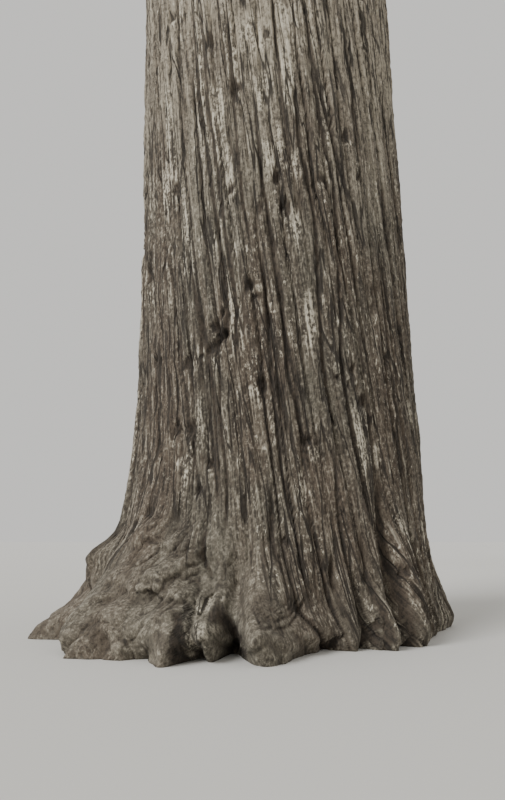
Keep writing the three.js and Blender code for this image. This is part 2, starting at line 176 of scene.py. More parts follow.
class RedwoodCrown(PropertyGroup):
    rounds: IntProperty(
        name="Rounds of twigs", description="How many times a limb's rule is grown again, finer",
        default=3, min=1)
    branchlet_gap: length_setting(
        "Branchlet gap", "Distance between the branchlets of a spray", 0.36, least=0.05)
    sprig_gap: length_setting(
        "Sprig gap", "Distance between the sprigs of a branchlet", 0.4, least=0.05)
    sprig_length: length_setting("Sprig length", "Length of a sprig of needles", 0.72)
    needles_dark: colour_setting("Inner needles", "Oldest needles", (0.028, 0.055, 0.02))
    needles_light: colour_setting("Outer needles", "Youngest needles", (0.11, 0.165, 0.05))
    wood: colour_setting("Bough bark", "Bark of the boughs and twigs", (0.12, 0.08, 0.055))


class RedwoodStage(PropertyGroup):
    floor: colour_setting("Floor", "Colour of the floor", (0.62, 0.61, 0.58))
    key: FloatProperty(name="Key", description="Strength of the main light", default=2.6, min=0)
    sky: FloatProperty(name="Sky", description="Strength of the light all round", default=0.78, min=0)


# Growth that the solids share

def draw(limb, turn):
    """A number from 0 to 1 that depends only on which limb asks, and for what."""
    x = math.sin(limb * DRAW_LIMB + turn * DRAW_TURN) * DRAW_SINE
    return x - math.floor(x)


def mix(a, b, share):
    return a + (b - a) * share


def drawn(span, limb, turn):
    """A number between the two of a span that depends only on which limb asks, and for what."""
    return mix(*span, draw(limb, turn))


def stray(reach, limb, turn):
    """A number within half of reach to either side of zero, drawn in the same way."""
    return (draw(limb, turn) - 0.5) * reach


def along(pairs, place):
    """Reads a list of (place, value) pairs, with a straight run between two of them."""
    return np.interp(place, *zip(*pairs))


def ramp(value, low, high):
    """A smooth step from 0 at low to 1 at high."""
    share = np.clip((value - low) / (high - low), 0, 1)
    return share * share * (3 - 2 * share)


def unit(vectors):
    return vectors / np.linalg.norm(vectors, axis=-1, keepdims=True)


def full_turn(count):
    """As many angles, evenly round a circle."""
    return 2 * np.pi * np.arange(count) / count


def on_round(radius, turn, height):
    """Points on a round post about the origin, at an angle and a height."""
    return np.stack(np.broadcast_arrays(radius * np.cos(turn), radius * np.sin(turn), height), axis=-1)


def trunk_axis(height):
    height = np.asarray(height, dtype=float)
    shift = FOOT_SHIFT_REACH * (1 - np.exp(-height / FOOT_SHIFT_RISE))
    lean = LEAN_SLOPE * LEAN_STRAIGHTENS * (1 - np.exp(-height / LEAN_STRAIGHTENS))
    sway = SWAY_REACH * np.sin(height / SWAY_WAVE) * np.minimum(1, height / SWAY_WAVE)
    return np.stack([shift - lean, sway, height], axis=-1)


def shaft_radius(height):
    return along(SHAFT, height) + FLARE_REACH * np.exp(-np.asarray(height) / FLARE_RISE)


def foot_lobes():
    lobes = list(FOOT)
    step = (FAR_SIDE["to"] - FAR_SIDE["from"]) / FAR_SIDE["lobes"]
    for k in range(FAR_SIDE["lobes"]):
        bearing = FAR_SIDE["from"] + (k + 0.5) * step
        reach = FAR_SIDE["reach"] * drawn(LOBE_REACHES, k, LOBE_DRAW)
        lobes.append((bearing, FAR_SIDE["spread"], reach, FAR_SIDE["rise"]))
        rise = FAR_SIDE["rise"] * drawn(CLEFT_RISES, k, CLEFT_DRAW)
        lobes.append((bearing + step / 2, FAR_SIDE["cleft"], -reach / 2, rise))
    return lobes


LOBES = foot_lobes()


def turned(angle):
    """The same angle between minus and plus half a turn."""
    return np.arctan2(np.sin(angle), np.cos(angle))


def bearing_from_origin(bearing, height):
    axis = trunk_axis(height)
    shaft = shaft_radius(height)
    return np.arctan2(axis[..., 1] + shaft * np.sin(bearing), axis[..., 0] + shaft * np.cos(bearing))


def trunk_radius(bearing, height):
    from_origin = bearing_from_origin(bearing, height)
    radius = shaft_radius(height) + np.zeros_like(bearing)
    for at, spread, reach, rise in LOBES:
        off = turned(from_origin - math.radians(at)) / math.radians(spread)
        radius += reach * np.exp(-off * off) * np.exp(-(height / rise) ** 2)
    return radius


def crown_reach(height):
    up = (height - CROWN_FOOT) / (TREE_HEIGHT - CROWN_FOOT)
    return CROWN_REACH * float(along(CROWN_OUTLINE, up))


def formed(form, up):
    """What a form gives a limb that is this share of the way up."""
    return {key: mix(*ends, up) for key, ends in form.items()}


def bough_limb(i):
    up = (i + 0.5) / BOUGH_COUNT
    height = mix(CROWN_FOOT, CROWN_LEADER, up ** BOUGH_CROWDING) + stray(HEIGHT_STRAY, i, HEIGHT_DRAW)
    limb = formed(BOUGH_FORM, up) | {
        "id": i,
        "height": height,
        "bearing": i * GOLDEN_TURN + stray(BEARING_STRAY, i, BEARING_DRAW),
        "reach": crown_reach(height) * drawn(BOUGH_REACHES, i, REACH_DRAW),
        "sweep": stray(SWEEP_STRAY, i, SWEEP_DRAW),
        "share": BOUGH_SHARE,
        "node": f"foliage_{i + 1:02d}",
        "bough": f"bough_{i + 1:02d}",
    }
    limb["climb"] += stray(CLIMB_STRAY, i, CLIMB_DRAW)
    return limb


def leader_limb(k):
    up = (k + 0.5) / LEADER_COUNT
    height = mix(LEADER_FIRST, LEADER_LAST, up)
    return formed(LEADER_FORM, up) | {
        "id": BOUGH_COUNT + k,
        "height": height,
        "bearing": (BOUGH_COUNT + k) * GOLDEN_TURN,
        "reach": min(crown_reach(height), (CROWN_TOP - height) * LEADER_SLOPE),
        "sweep": 0,
        "share": 0,
        "node": f"leader_foliage_{k + 1:02d}",
        "bough": None,
    }


LIMBS = [bough_limb(i) for i in range(BOUGH_COUNT)] + [leader_limb(k) for k in range(LEADER_COUNT)]


def limb_point(limb, share):
    share = np.asarray(share, dtype=float)
    start = shaft_radius(limb["height"]) * LIMB_SEAT
    run = limb["reach"] - start
    lift = limb["climb"] * share - limb["droop"] * share ** 2 + limb["curl"] * share ** 3
    bearing = limb["bearing"] + limb["sweep"] * share * share
    return trunk_axis(limb["height"]) + on_round(start + run * share, bearing, run * lift)


def limb_direction(limb, share):
    step = 0.01
    return unit(limb_point(limb, np.asarray(share) + step) - limb_point(limb, np.asarray(share) - step))


def swung(ahead, side, angle):
    """A direction turned by an angle from ahead towards side."""
    angle = np.asarray(angle)[..., None]
    return ahead * np.cos(angle) + side * np.sin(angle)


def frame_of(direction):
    """Three directions at right angles: along, then level to one side, then upwards."""
    side = unit(np.cross(UP, direction))
    return direction, side, np.cross(direction, side)


def limb_line(limb, low, high):
    return limb_point(limb, np.linspace(low, high, STEM_STEPS + 1))


BOUGH_LINES = [limb_line(limb, 0, limb["share"]) for limb in LIMBS if limb["share"]]
STEM_LINES = [limb_line(limb, limb["share"], 1) for limb in LIMBS]


def distance_to_line(points, line):
    start, run = line[:-1], np.diff(line, axis=0)
    offset = points[:, None] - start
    share = np.clip(np.sum(offset * run, axis=-1) / np.sum(run * run, axis=-1), 0, 1)
    return np.linalg.norm(offset - share[..., None] * run, axis=-1).min(axis=1)


def fits(points, own):
    """Which points lie in the limb's own space, clear of the wood and inside the solids' box."""
    near = distance_to_line(points, STEM_LINES[own]) + MASS_GAP
    good = points[:, 2] < CROWN_TOP
    for n, line in enumerate(STEM_LINES):
        if n != own:
            good &= distance_to_line(points, line) > near
    axis = trunk_axis(points[:, 2])
    from_trunk = np.hypot(points[:, 0] - axis[:, 0], points[:, 1] - axis[:, 1])
    good &= from_trunk > shaft_radius(points[:, 2]) + LIMB_GAP
    for limb, line in zip(LIMBS, BOUGH_LINES):
        good &= distance_to_line(points, line) > BOUGH_ROOT * limb["thick"] + LIMB_GAP
    low, high = (np.array(corner) / SCALE for corner in SOLID_BOX)
    return good & np.all(points > low, axis=1) & np.all(points < high, axis=1)


# Noise

class Noise:
    """Seeded gradient noise on arrays of points, from about -0.7 to 0.7."""

    SIZE = 256

    def __init__(self, seed):
        random = np.random.default_rng(seed)
        self.order = random.permutation(self.SIZE)
        self.aims = unit(random.normal(size=(self.SIZE, 3)))

    def __call__(self, place, across, up):
        scaled = place / np.array([across, across, up])
        cell = np.floor(scaled).astype(int)
        part = scaled - cell
        fade = part ** 3 * (part * (part * 6 - 15) + 10)
        total = np.zeros(place.shape[:-1])
        for corner in np.ndindex(2, 2, 2):
            pick = 0
            for axis in range(3):
                pick = self.order[(pick + cell[..., axis] + corner[axis]) % self.SIZE]
            weight = np.prod(np.where(corner, fade, 1 - fade), axis=-1)
            total += weight * np.sum(self.aims[pick] * (part - corner), axis=-1)
        return total


# Meshes

def mesh_piece(name, points, triangles, finishes, tints=None, smooth=True, **marks):
    """An object of triangles. marks are numbers or vectors at its points, for its finish to read."""
    mesh = bpy.data.meshes.new(name)
    mesh.vertices.add(len(points))
    mesh.vertices.foreach_set("co", (points * SCALE).astype(np.float32).ravel())
    mesh.loops.add(triangles.size)
    mesh.loops.foreach_set("vertex_index", triangles.astype(np.int32).ravel())
    mesh.polygons.add(len(triangles))
    mesh.polygons.foreach_set("loop_start", np.arange(0, triangles.size, 3, dtype=np.int32))
    mesh.polygons.foreach_set("use_smooth", np.full(len(triangles), smooth))
    if tints is not None:
        mesh.polygons.foreach_set("material_index", tints.astype(np.int32))
    for mark, values in marks.items():
        kind, key = ("FLOAT_VECTOR", "vector") if values.ndim > 1 else ("FLOAT", "value")
        data = mesh.attributes.new(mark, kind, "POINT").data
        data.foreach_set(key, values.astype(np.float32).ravel())
    for finish in finishes:
        mesh.materials.append(finish)
    mesh.update(calc_edges=True)
    piece = bpy.data.objects.new(name, mesh)
    bpy.context.scene.collection.objects.link(piece)
    return piece


def dress(piece, nodes):
    """Puts a piece on the tree, in place of its solids."""
    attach(piece, "root")
    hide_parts(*nodes)


def ring_faces(low_first, low_count, high_first, high_count):
    """Triangles between two rings, of which the lower may have a whole number of times more points."""
    each = low_count // high_count
    start = np.arange(high_count) * each
    last = start + each - 1
    here = high_first + np.arange(high_count)
    beyond = high_first + (np.arange(high_count) + 1) % high_count
    low = [low_first + (start + n) % low_count for n in range(each)]
    faces = [np.stack([low[n], low[n + 1], here], axis=1) for n in range(each - 1)]
    after = low_first + (last + 1) % low_count
    faces.append(np.stack([low[-1], beyond, here], axis=1))
    faces.append(np.stack([low[-1], after, beyond], axis=1))
    return faces


def tubes(centres, radii, sides, swell=None):
    """Round bars that follow rows of centres, as points and triangles. The last ring is closed."""
    bars, rings = centres.shape[:2]
    direction = unit(np.gradient(centres, axis=1))
    _, side, up = frame_of(direction)
    reach = radii[..., None] * (1 if swell is None else swell)
    points = centres[:, :, None] + reach[..., None] * swung(
        side[:, :, None], up[:, :, None], full_turn(sides))
    first = (np.arange(bars)[:, None, None] * rings + np.arange(rings - 1)[:, None]) * sides
    k = np.arange(sides)
    here, beside = first + k, first + (k + 1) % sides
    faces = [np.stack([here, *others], axis=-1) for others in (
        (beside, beside + sides), (beside + sides, here + sides))]
    end = (np.arange(bars)[:, None] * rings + rings - 1) * sides
    k = np.arange(1, sides - 1)
    faces.append(np.stack([end + 0 * k, end + k, end + k + 1], axis=-1))
    return points.reshape(-1, 3), np.concatenate([face.reshape(-1, 3) for face in faces])


def columns(rows):
    """The first things of all rows as one array, then the second ones, and so on."""
    return (np.array(column) for column in zip(*rows))


def joined(parts):
    """Several (points, triangles) pairs as one."""
    points, faces, count = [], [], 0
    for part_points, part_faces in parts:
        points.append(part_points)
        faces.append(part_faces + count)
        count += len(part_points)
    return np.concatenate(points), np.concatenate(faces)


# Finishes

class Value:
    """A socket that takes part in sums: an expression on it adds the Math nodes."""

    def __init__(self, finish, socket):
        self.finish = finish
        self.socket = socket

    def math(self, operation, *values):
        return self.finish.node("ShaderNodeMath", {"operation": operation}, dict(enumerate(values)))[0]

    def __add__(self, other):
        return self.math("ADD", self, other)

    def __sub__(self, other):
        return self.math("SUBTRACT", self, other)

    def __rsub__(self, other):
        return self.math("SUBTRACT", other, self)

    def __mul__(self, other):
        return self.math("MULTIPLY", self, other)

    __radd__ = __add__
    __rmul__ = __mul__

    def away(self, middle):
        """How far it is from a middle value, either way."""
        return self.math("ABSOLUTE", self - middle)

    def step(self, low, high):
        """A smooth step from 0 at low to 1 at high, or the other way round."""
        flip = low > high
        inputs = {"Value": self, "From Min": min(low, high), "From Max": max(low, high),
                  "To Min": 1 if flip else 0, "To Max": 0 if flip else 1}
        return self.finish.node("ShaderNodeMapRange", {"interpolation_type": "SMOOTHSTEP"}, inputs)[0]


class Finish:
    """A material of nodes that ends in one Principled shader."""

    # Where the Mix node has its two colours among its inputs.
    LOW_COLOUR, HIGH_COLOUR = 6, 7

    def __init__(self, name, **constants):
        self.material = bpy.data.materials.new(name)
        self.material.use_nodes = True
        self.tree = self.material.node_tree
        self.shader = self.tree.nodes["Principled BSDF"]
        for socket, value in constants.items():
            self.shader.inputs[socket.replace("_", " ").title()].default_value = value

    def node(self, kind, settings=None, inputs=None):
        """Adds a node and returns its outputs, each ready for sums."""
        node = self.tree.nodes.new(kind)
        for name, value in (settings or {}).items():
            setattr(node, name, value)
        for name, value in (inputs or {}).items():
            self.feed(node.inputs[name], value)
        return [Value(self, socket) for socket in node.outputs if socket.enabled]

    def feed(self, socket, value):
        if isinstance(value, Value):
            self.tree.links.new(value.socket, socket)
        elif hasattr(value, "__len__") and socket.type == "RGBA":
            socket.default_value = (*value, 1)
        else:
            socket.default_value = value

    def mark(self, name, vector=False):
        outputs = self.node("ShaderNodeAttribute", {"attribute_name": name})
        return outputs[1] if vector else outputs[2]

    def stretched(self, place, across, up):
        """A place vector scaled so that one unit is across wide and up high."""
        scale = (1 / across, 1 / across, 1 / up)
        return self.node("ShaderNodeVectorMath", {"operation": "MULTIPLY"}, {0: place, 1: scale})[0]

    def noise(self, place, across, up, detail, roughness, distortion=0):
        inputs = {"Vector": self.stretched(place, across, up), "Scale": 1.0, "Detail": detail,
                  "Roughness": roughness, "Distortion": distortion}
        return self.node("ShaderNodeTexNoise", None, inputs)[0]

    def blend(self, share, low, high):
        """A colour between two others."""
        inputs = {"Factor": share, self.LOW_COLOUR: low, self.HIGH_COLOUR: high}
        return self.node("ShaderNodeMix", {"data_type": "RGBA"}, inputs)[0]

    def layers(self, base, *rows):
        """Lays colours over a base. A row is a pattern, the values of it at which the colour starts and
        is full, the strength that it has there, and the colour."""
        for pattern, start, full, strength, colour in rows:
            base = self.blend(pattern.step(start, full) * strength, base, colour)
        return base

    def colour(self, value):
        self.feed(self.shader.inputs["Base Color"], value)

    def bump(self, height, distance):
        normal = self.node("ShaderNodeBump", None, {"Height": height, "Distance": distance})[0]
        self.feed(self.shader.inputs["Normal"], normal)


# Patterns of the bark: size across and up in metres, detail, roughness and distortion. Those of
# the grain run up the trunk, and those of the surface lie on it as it is.
GRAIN_PATTERNS = {
    "fibre": (0.03, 0.6, 4, 0.65, 0.2),
    "strand": (0.11, 2.0, 3, 0.55),
    "check": (0.2, 2.2, 3, 0.45, 0.4),
    "cloud": (1.1, 2.6, 3, 0.5),
    "zone": (0.7, 1.8, 2, 0.5),
}
SURFACE_PATTERNS = {
    "crumb": (0.045, 0.06, 4, 0.7),
    "fleck": (0.05, 0.13, 4, 0.75),
    "knob": (0.16, 0.16, 3, 0.6),
}

# Heights between which the bark turns to its paler upper colour, which is painted light: the trunk
# is painted brighter higher up, where the light falls brighter. Also how near to the middle of the
# check pattern a thin split, which is darkened as painted shade, starts and is full.
PAINTED_LIGHT_HEIGHTS, SPLIT_LINE = (4.5, 11.0), (0.024, 0.004)
BARK_ROUGHNESS, BARK_BUMP = 0.92, 0.012
FLAKE_PATTERN, WOOD_ROUGHNESS, WOOD_BUMP = (0.09, 0.3, 4, 0.6), 0.85, 0.01
WOOD_DARK, WOOD_PALE = 0.35, 1.9
WOOD_SPAN, PALE_WOOD_SPAN, KNOT_SPAN = (0.35, 0.6), (0.58, 0.75), (0.1, 0.6)
NEEDLE_ROUGHNESS = 0.5


def bark_finish(name, bark):
    """Fibrous bark: pale strips and flecks on its ridges, dark down in its furrows. The dark is partly
    darker bark and partly painted shade.
    """
    finish = Finish(name, roughness=BARK_ROUGHNESS)
    place, spot = (finish.mark(mark, vector=True) for mark in ("bark_place", "spot"))
    furrow, burl, strip = (finish.mark(mark) for mark in ("furrow", "burl", "pale"))
    fibre, strand, check, cloud, zone = (
        finish.noise(place, *pattern) for pattern in GRAIN_PATTERNS.values())
    crumb, fleck, knob = (finish.noise(spot, *pattern) for pattern in SURFACE_PATTERNS.values())
    # Painted light: up the trunk the ridges, the strips and the recesses are painted paler, as though
    # more light fell there.
    high = finish.node("ShaderNodeSeparateXYZ", None, {0: place})[2].step(*PAINTED_LIGHT_HEIGHTS)
    split = check.away(0.5).step(*SPLIT_LINE) * (1 - burl)
    base = finish.layers(
        finish.blend(high, bark.ridge, bark.high_ridge_painted_light),
        (cloud, 0.36, 0.66, 1 - high * 0.4, bark.heart),
        (strand, 0.5, 0.7, (1 - burl * 0.5) * 0.6, bark.heart),
        (fibre, 0.52, 0.34, (1 - burl * 0.75) * 0.8, bark.furrow),
        (crumb, 0.5, 0.36, 0.65, bark.furrow),
        (knob, 0.46, 0.34, burl * 0.2, bark.furrow))

    # The same without a colour: all of it is the bleached one.
    pale = sum(pattern.step(start, full) * strength for pattern, start, full, strength in (
        (crumb, 0.5, 0.68, 0.3),
        (fibre, 0.52, 0.7, (1 - burl * 0.85) * 0.35),
        (fibre + crumb, 0.9, 1.1, strip * (high * 0.3 + 0.65)),
        (fleck, 0.57, 0.64, zone.step(0.42, 0.56) * (1 - burl) * 0.75),
        (knob, 0.44, 0.64, burl * 0.12),
        (fleck, 0.5, 0.66, burl * 0.15)))

    # Over the base come the bleached parts, then the furrows and other hollows, darkened partly as
    # darker bark and partly as painted shade, and the thin splits, darkened as painted shade.
    painted_recess_shade = finish.layers(bark.furrow, (fibre + crumb, 0.85, 1.2, 0.8 - furrow * 0.3, bark.heart))
    finish.colour(finish.layers(
        base,
        (furrow, 0.4, 0.04, pale * (1 - split), bark.bleached),
        (furrow + (0.5 - fibre) * 0.9, 0.18, 0.6, (1 - high * 0.2) * 0.94, painted_recess_shade),
        (strand, 0.34, 0.48, split * 0.88, bark.furrow)))
    finish.bump(fibre * 0.6 + strand * 0.4 + crumb * 0.5 + knob * burl - split * 0.7, BARK_BUMP)
    return finish.material


def wood_finish(name, crown):
    """Thin flaky bark of boughs and twigs."""
    finish = Finish(name, roughness=WOOD_ROUGHNESS)
    flake = finish.noise(finish.mark("bark_place", vector=True), *FLAKE_PATTERN)
    dark, pale = (tuple(times * part for part in crown.wood) for times in (WOOD_DARK, WOOD_PALE))
    base = finish.blend(flake.step(*WOOD_SPAN), dark, crown.wood)
    base = finish.blend(flake.step(*PALE_WOOD_SPAN), base, pale)
    finish.colour(finish.blend(finish.mark("furrow").step(*KNOT_SPAN), base, dark))
    finish.bump(flake, WOOD_BUMP)
    return finish.material


def plain_finish(name, roughness, colour):
    """One colour all over, for needles and the floor."""
    return Finish(name, roughness=roughness, base_color=(*colour, 1)).material


# Trunk

# How the grain winds round the trunk on its way up, and the radius of the round post off which
# the bark's patterns are read.
GRAIN_TURN, GRAIN_RISE, BARK_ROUND = 0.06, 30, 2.35

# At the foot the grain also turns, by this much, and by this share of it at each bearing.
FOOT_TURN, FOOT_TURN_RISE = 0.22, 1.2
FOOT_TURNS = [(-180, 0), (-150, 0), (-90, 1), (-30, 1), (60, 0.4), (180, 0)]

# Each piece of the trunk: heights in metres, the share of the columns that it has, and the height
# of a row.
TRUNK_PIECES = [
    ("trunk_foot", [(0, 1.572, 2, 0.028), (1.572, 1.6, 1, 0.028)]),
    ("trunk_lower", [(1.6, 6.0, 1, 0.06)]),
    ("trunk_middle", [(6.0, 12.0, 1, 0.09)]),
    ("trunk_upper", [(12.0, 36.0, 0.5, 0.3), (36.0, 72.0, 0.375, 0.5), (72.0, TREE_HEIGHT, 0.25, 0.7)]),
]

# The trunk's radii at which its relief starts and is full.
RELIEF_SPAN = (0.02, 1.2)

# Bands of furrows: seed, how many and how wandering they are beside the settings, and the size of
# their bends across and up in metres.
MAIN, CROSS = (100, 1, 1, 0.9, 6.0), (120, 0.4, 0.8, 1.6, 8.0)
FINE, SPLIT = (140, 2.1, 1.6, 0.5, 3.0), (160, 3.7, 2, 0.35, 1.6)

# The share that finer bends have, how far apart neighbours read their own noise, and the share of
# its width that a furrow keeps where it is faint.
BEND_FINER, STRIPS_APART, NARROWEST = 0.3, 7.31, 0.45

# How their furrows come and go: over how many metres, and the noise at which one starts and is full.
MAIN_RUN, CROSS_RUN = (3.5, -0.35, 0.3), (4.0, 0.0, 0.35)
FINE_RUN, SPLIT_RUN = (1.1, -0.2, 0.15), (0.5, -0.05, 0.2)

# Widths, and how deep and rounded furrows and cracks are, and how much painted shade darkens a
# crack. The crown of a ridge is in metres.
CROSS_WIDER, FINE_WIDTH, SPLIT_WIDTH, SPLIT_SHARE = 1.6, 0.025, 0.022, 0.8
FURROW_ROUND, CRACK_DEPTH, CRACK_PAINTED_SHADE, RIDGE_CROWN = 0.8, 0.3, 0.6, 0.022

# Furrows are wider in the crown, by this many times, and cracks fade out: heights in metres.
UPPER_FURROWS, FURROWS_WIDEN, CRACKS_FADE = 2.4, (12, 40), (45, 15)

# What each ridge has for itself: reach, which noise, and the run of it in metres.
RIDGE_TILT, RIDGE_LIFT, FINE_LIFT, RIDGE_PALE = (0.2, 5, 4.0), (0.05, 6, 3.0), (0.03, 6, 0.8), (1, 7, 1.6)

# Unevenness: reach, seed, and size across and up in metres.
BARK_FORMS = [(0.14, 26, 2.2, 6.0), (0.06, 25, 0.7, 7.0), (0.025, 27, 0.055, 0.4), (0.02, 29, 0.05, 0.09)]
PALE_DRIFT, TOP_DRIFT, CURL = (0.5, 30, 1.2, 3.0), (0.9, 42, 0.5, 6.0), (1, 36, 0.9, 0.9)
BURL_GRAIN, BURL_FIBRE, BURL_CREASE = (0.03, 34, 0.13, 0.13), (0.02, 27, 0.07, 0.5), (1, 32, 0.34, 0.34)
RAGGED, HOLE_RAGGED, TORN_FIBRE = (1.5, 35, 0.12, 0.16), (0.9, 39, 0.045, 0.09), (0.3, 27, 0.07, 0.5)
SPECK, ROUGH = (1, 37, 0.13, 0.18), (1, 38, 0.5, 0.7)

# The values at which some of them start to show, and at which they show in full.
PALE_SPAN, CURL_SPAN, HOLLOW_SPAN, ROUGH_SPAN = (0.2, 0.42), (-0.2, 0.15), (-0.03, -0.12), (0.28, 0.42)
POCK_SPAN, PIT_SPAN, FLECK_SPAN = (0.02, -0.14), (0.0, -0.16), (0.0, 0.16)

# Lumps of the burl, from the largest, and how its creases and hollows sink, and how much painted
# shade darkens them.
LUMP_SIZES, LUMP_SEED, LUMP_POWER, LUMP_MIDDLE, LUMP_REACH = (0.7, 0.34, 0.17), 31, 1.5, 0.2, 5
CREASE_WIDTH, CREASE_DEPTH, CREASE_PAINTED_SHADE, HOLLOW_PAINTED_SHADE, LEAST_CURLY = 0.05, 0.02, 0.5, 0.3, 0.25

# Half the height over which burl turns to furrows, how far the foot tucks in at the ground and up
# to where, and how deep pocks are.
BURL_EDGE, FOOT_TUCK, FOOT_TUCK_RISE, POCK_DEPTH = 0.35, 0.24, 0.2, 0.07

# Ragged holes in the bark: bearing in degrees, then height and size in metres. The far side has
# more of them, drawn within spans of the same three.
HOLES = [
    (-148.8, 9.1, 0.09), (-115.9, 8.8, 0.08), (-92, 8.8, 0.05), (-59.6, 7.5, 0.09), (-132.9, 6.9, 0.1),
    (-55.1, 6.9, 0.09), (-89.8, 6.7, 0.1), (-107.9, 6.5, 0.11), (-86.5, 6.25, 0.13),
    (-112.2, 4.55, 0.14), (-115, 4.3, 0.12), (-45.1, 4.25, 0.1), (-126.3, 4.15, 0.1),
    (-46.1, 3.9, 0.07), (-63.6, 3.85, 0.12), (-96.1, 3.7, 0.13), (-60.4, 3.5, 0.09),
    (-130.7, 3.15, 0.1), (-80.8, 2.9, 0.12), (-127, 2.75, 0.08), (-114.9, 2.6, 0.1), (-87.7, 1.5, 0.08),
    (-46.7, 1.1, 0.09),
]
FAR_HOLES, FAR_BEARINGS, FAR_HEIGHTS, FAR_SIZES = 18, (-25, 215), (2.2, 14), (0.08, 0.15)

# A hole is a pit in a ragged patch, both sunk and darkened with painted shade, over a pale
# stain: how tall each is beside its width, where its edge starts and is full, and how far the
# stain lies below.
HOLE_TALL, HOLE_DEPTH, PATCH_SPAN, HOLE_SPAN = 1.1, 0.6, (1.4, 0.5), (0.7, 0.2)
STAIN_WIDE, STAIN_TALL, STAIN_BELOW, STAIN_RAGGED, STAIN_SPAN = 0.9, 1.7, 1.3, 2, (1.2, 0.6)

# Pale patches where the bark has flaked: bearing, height, half width and half height.
PALE_PATCHES = [
    (-82.4, 9, 0.15, 0.5), (-122, 8.9, 0.15, 0.9), (-97.6, 8.8, 0.2, 0.4), (-84.5, 8.2, 0.15, 0.5),
    (-94.3, 8, 0.2, 0.3), (-113, 7.8, 0.14, 0.6), (-68.6, 7.6, 0.06, 0.6), (-111.4, 7.2, 0.1, 0.5),
    (-90, 6.95, 0.17, 0.4), (-82.7, 6.8, 0.1, 0.25), (-112.7, 6.1, 0.09, 0.7),
    (-83.4, 5.95, 0.12, 0.25), (-107, 5.7, 0.15, 0.16), (-79.5, 4.6, 0.12, 0.45),
    (-120.8, 4.2, 0.15, 0.2), (-99.6, 3.6, 0.15, 0.12), (-92.4, 3.4, 0.05, 0.6), (-59.1, 3.2, 0.1, 0.3),
    (-54, 2.8, 0.12, 0.2), (-79.2, 2.7, 0.12, 0.14), (-123.7, 2.5, 0.12, 0.4), (-82.4, 2.3, 0.08, 0.3),
]
FLAKE_RAGGED, FLAKE_SPAN = 0.7, (1.1, 0.6)

# Long cracks, each in the form that the creases of the foot have.
CRACKS = [
    (0.04, 0.045, ((-108.5, 4), (-110.7, 5.3), (-115.8, 6.7), (-120.7, 7.9), (-126, 9.8))),
    (0.04, 0.045, ((-106.5, 3.6), (-105.6, 4.8), (-111.1, 6.3), (-116.3, 7.8), (-120.5, 9.8))),
    (0.035, 0.04, ((-99, 5.4), (-102.9, 6.3), (-105.4, 7.6), (-108.6, 9.6))),
    (0.035, 0.04, ((-84.3, 6.9), (-86.5, 7.7), (-90, 9.8))),
    (0.05, 0.07, ((-74.5, 4.9), (-76.4, 6.3), (-81.1, 7.3), (-81.3, 8.4))),
    (0.04, 0.045, ((-66.5, 5.2), (-66.5, 6.7), (-70.8, 7.5), (-75, 9.2))),
    (0.04, 0.045, ((-49.5, 7.1), (-53.1, 7.7), (-58.2, 9.6))),
    (0.035, 0.04, ((-39, 5.8), (-40.1, 7), (-42.7, 8.8), (-44, 10))),
    (0.045, 0.06, ((-78, 2.1), (-83, 3), (-87.6, 3.8), (-91, 5.8))),
    (0.045, 0.06, ((-83.5, 1.5), (-89.9, 2.5), (-93.5, 3.8), (-96.7, 5.9))),
    (0.055, 0.08, ((-86.5, 2.7), (-89.6, 3.4), (-91.2, 4.1))),
    (0.04, 0.045, ((-70, 2.6), (-75.2, 4), (-76.3, 5.9))),
    (0.04, 0.05, ((-58.5, 1.8), (-64.9, 3.1), (-68, 3.9), (-67.5, 6.1))),
    (0.035, 0.04, ((-128, 1.7), (-137.6, 2.6), (-145, 3.5), (-149, 4.5))),
    (0.035, 0.04, ((-114.5, 1.8), (-124.5, 3.1), (-129.7, 4), (-134, 5.3))),
    (0.035, 0.04, ((-107.5, 1.6), (-112, 2.4), (-119.2, 4))),
    (0.035, 0.04, ((-56, 4.2), (-59.1, 4.9), (-59, 6))),
    (0.04, 0.045, ((-36, 1.9), (-41.5, 3.2), (-45.6, 5.9))),
    (0.04, 0.04, ((-128.5, 6.9), (-133.2, 8.6))),
    (0.035, 0.04, ((-89.5, 5.1), (-95.5, 6.6), (-98.2, 8.3))),
]
CREASE_END, CREASE_RAGGED, CREASE_ROUND = 0.8, 0.5, 0.9

# Creases of the foot: half their width and their depth in metres, then the way that each one
# takes up the bark as bearing in degrees and height in metres.
CREASES = [
    (0.05, 0.08, ((-44.2, 0), (-44.6, 0.17), (-46.8, 0.55), (-49.4, 1.07), (-52, 1.81), (-53.5, 2.7))),
    (0.045, 0.07, ((-53.5, 0), (-54.7, 0.3), (-56.4, 0.54), (-59.6, 0.94), (-61.7, 1.4), (-63, 2.0))),
    (0.06, 0.12, ((-68.2, 0.6), (-68.4, 0.69), (-71.3, 1.07), (-73, 1.5))),
    (0.06, 0.09, ((-27.5, 0), (-28.6, 0.24), (-30.6, 0.57), (-33, 1.4))),
    (0.06, 0.1, ((-103.4, 0), (-104.6, 0.25), (-106.1, 0.44), (-108.5, 0.6), (-113, 0.72), (-117, 0.85))),
    (0.12, 0.14, ((-95.5, 0), (-94.2, 0.25), (-96.5, 0.36), (-99.9, 0.53), (-103.6, 0.85))),
    (0.07, 0.11, ((-67, 0), (-68.2, 0.03), (-74.7, 0.29), (-81.3, 0.58), (-84, 0.95))),
    (0.06, 0.08, ((-103.3, 0.75), (-108, 1.08), (-111.2, 1.28), (-113, 1.9))),
    (0.055, 0.07, ((-85, 0.8), (-88.5, 1.2), (-91.5, 1.51), (-93, 2.4))),
]

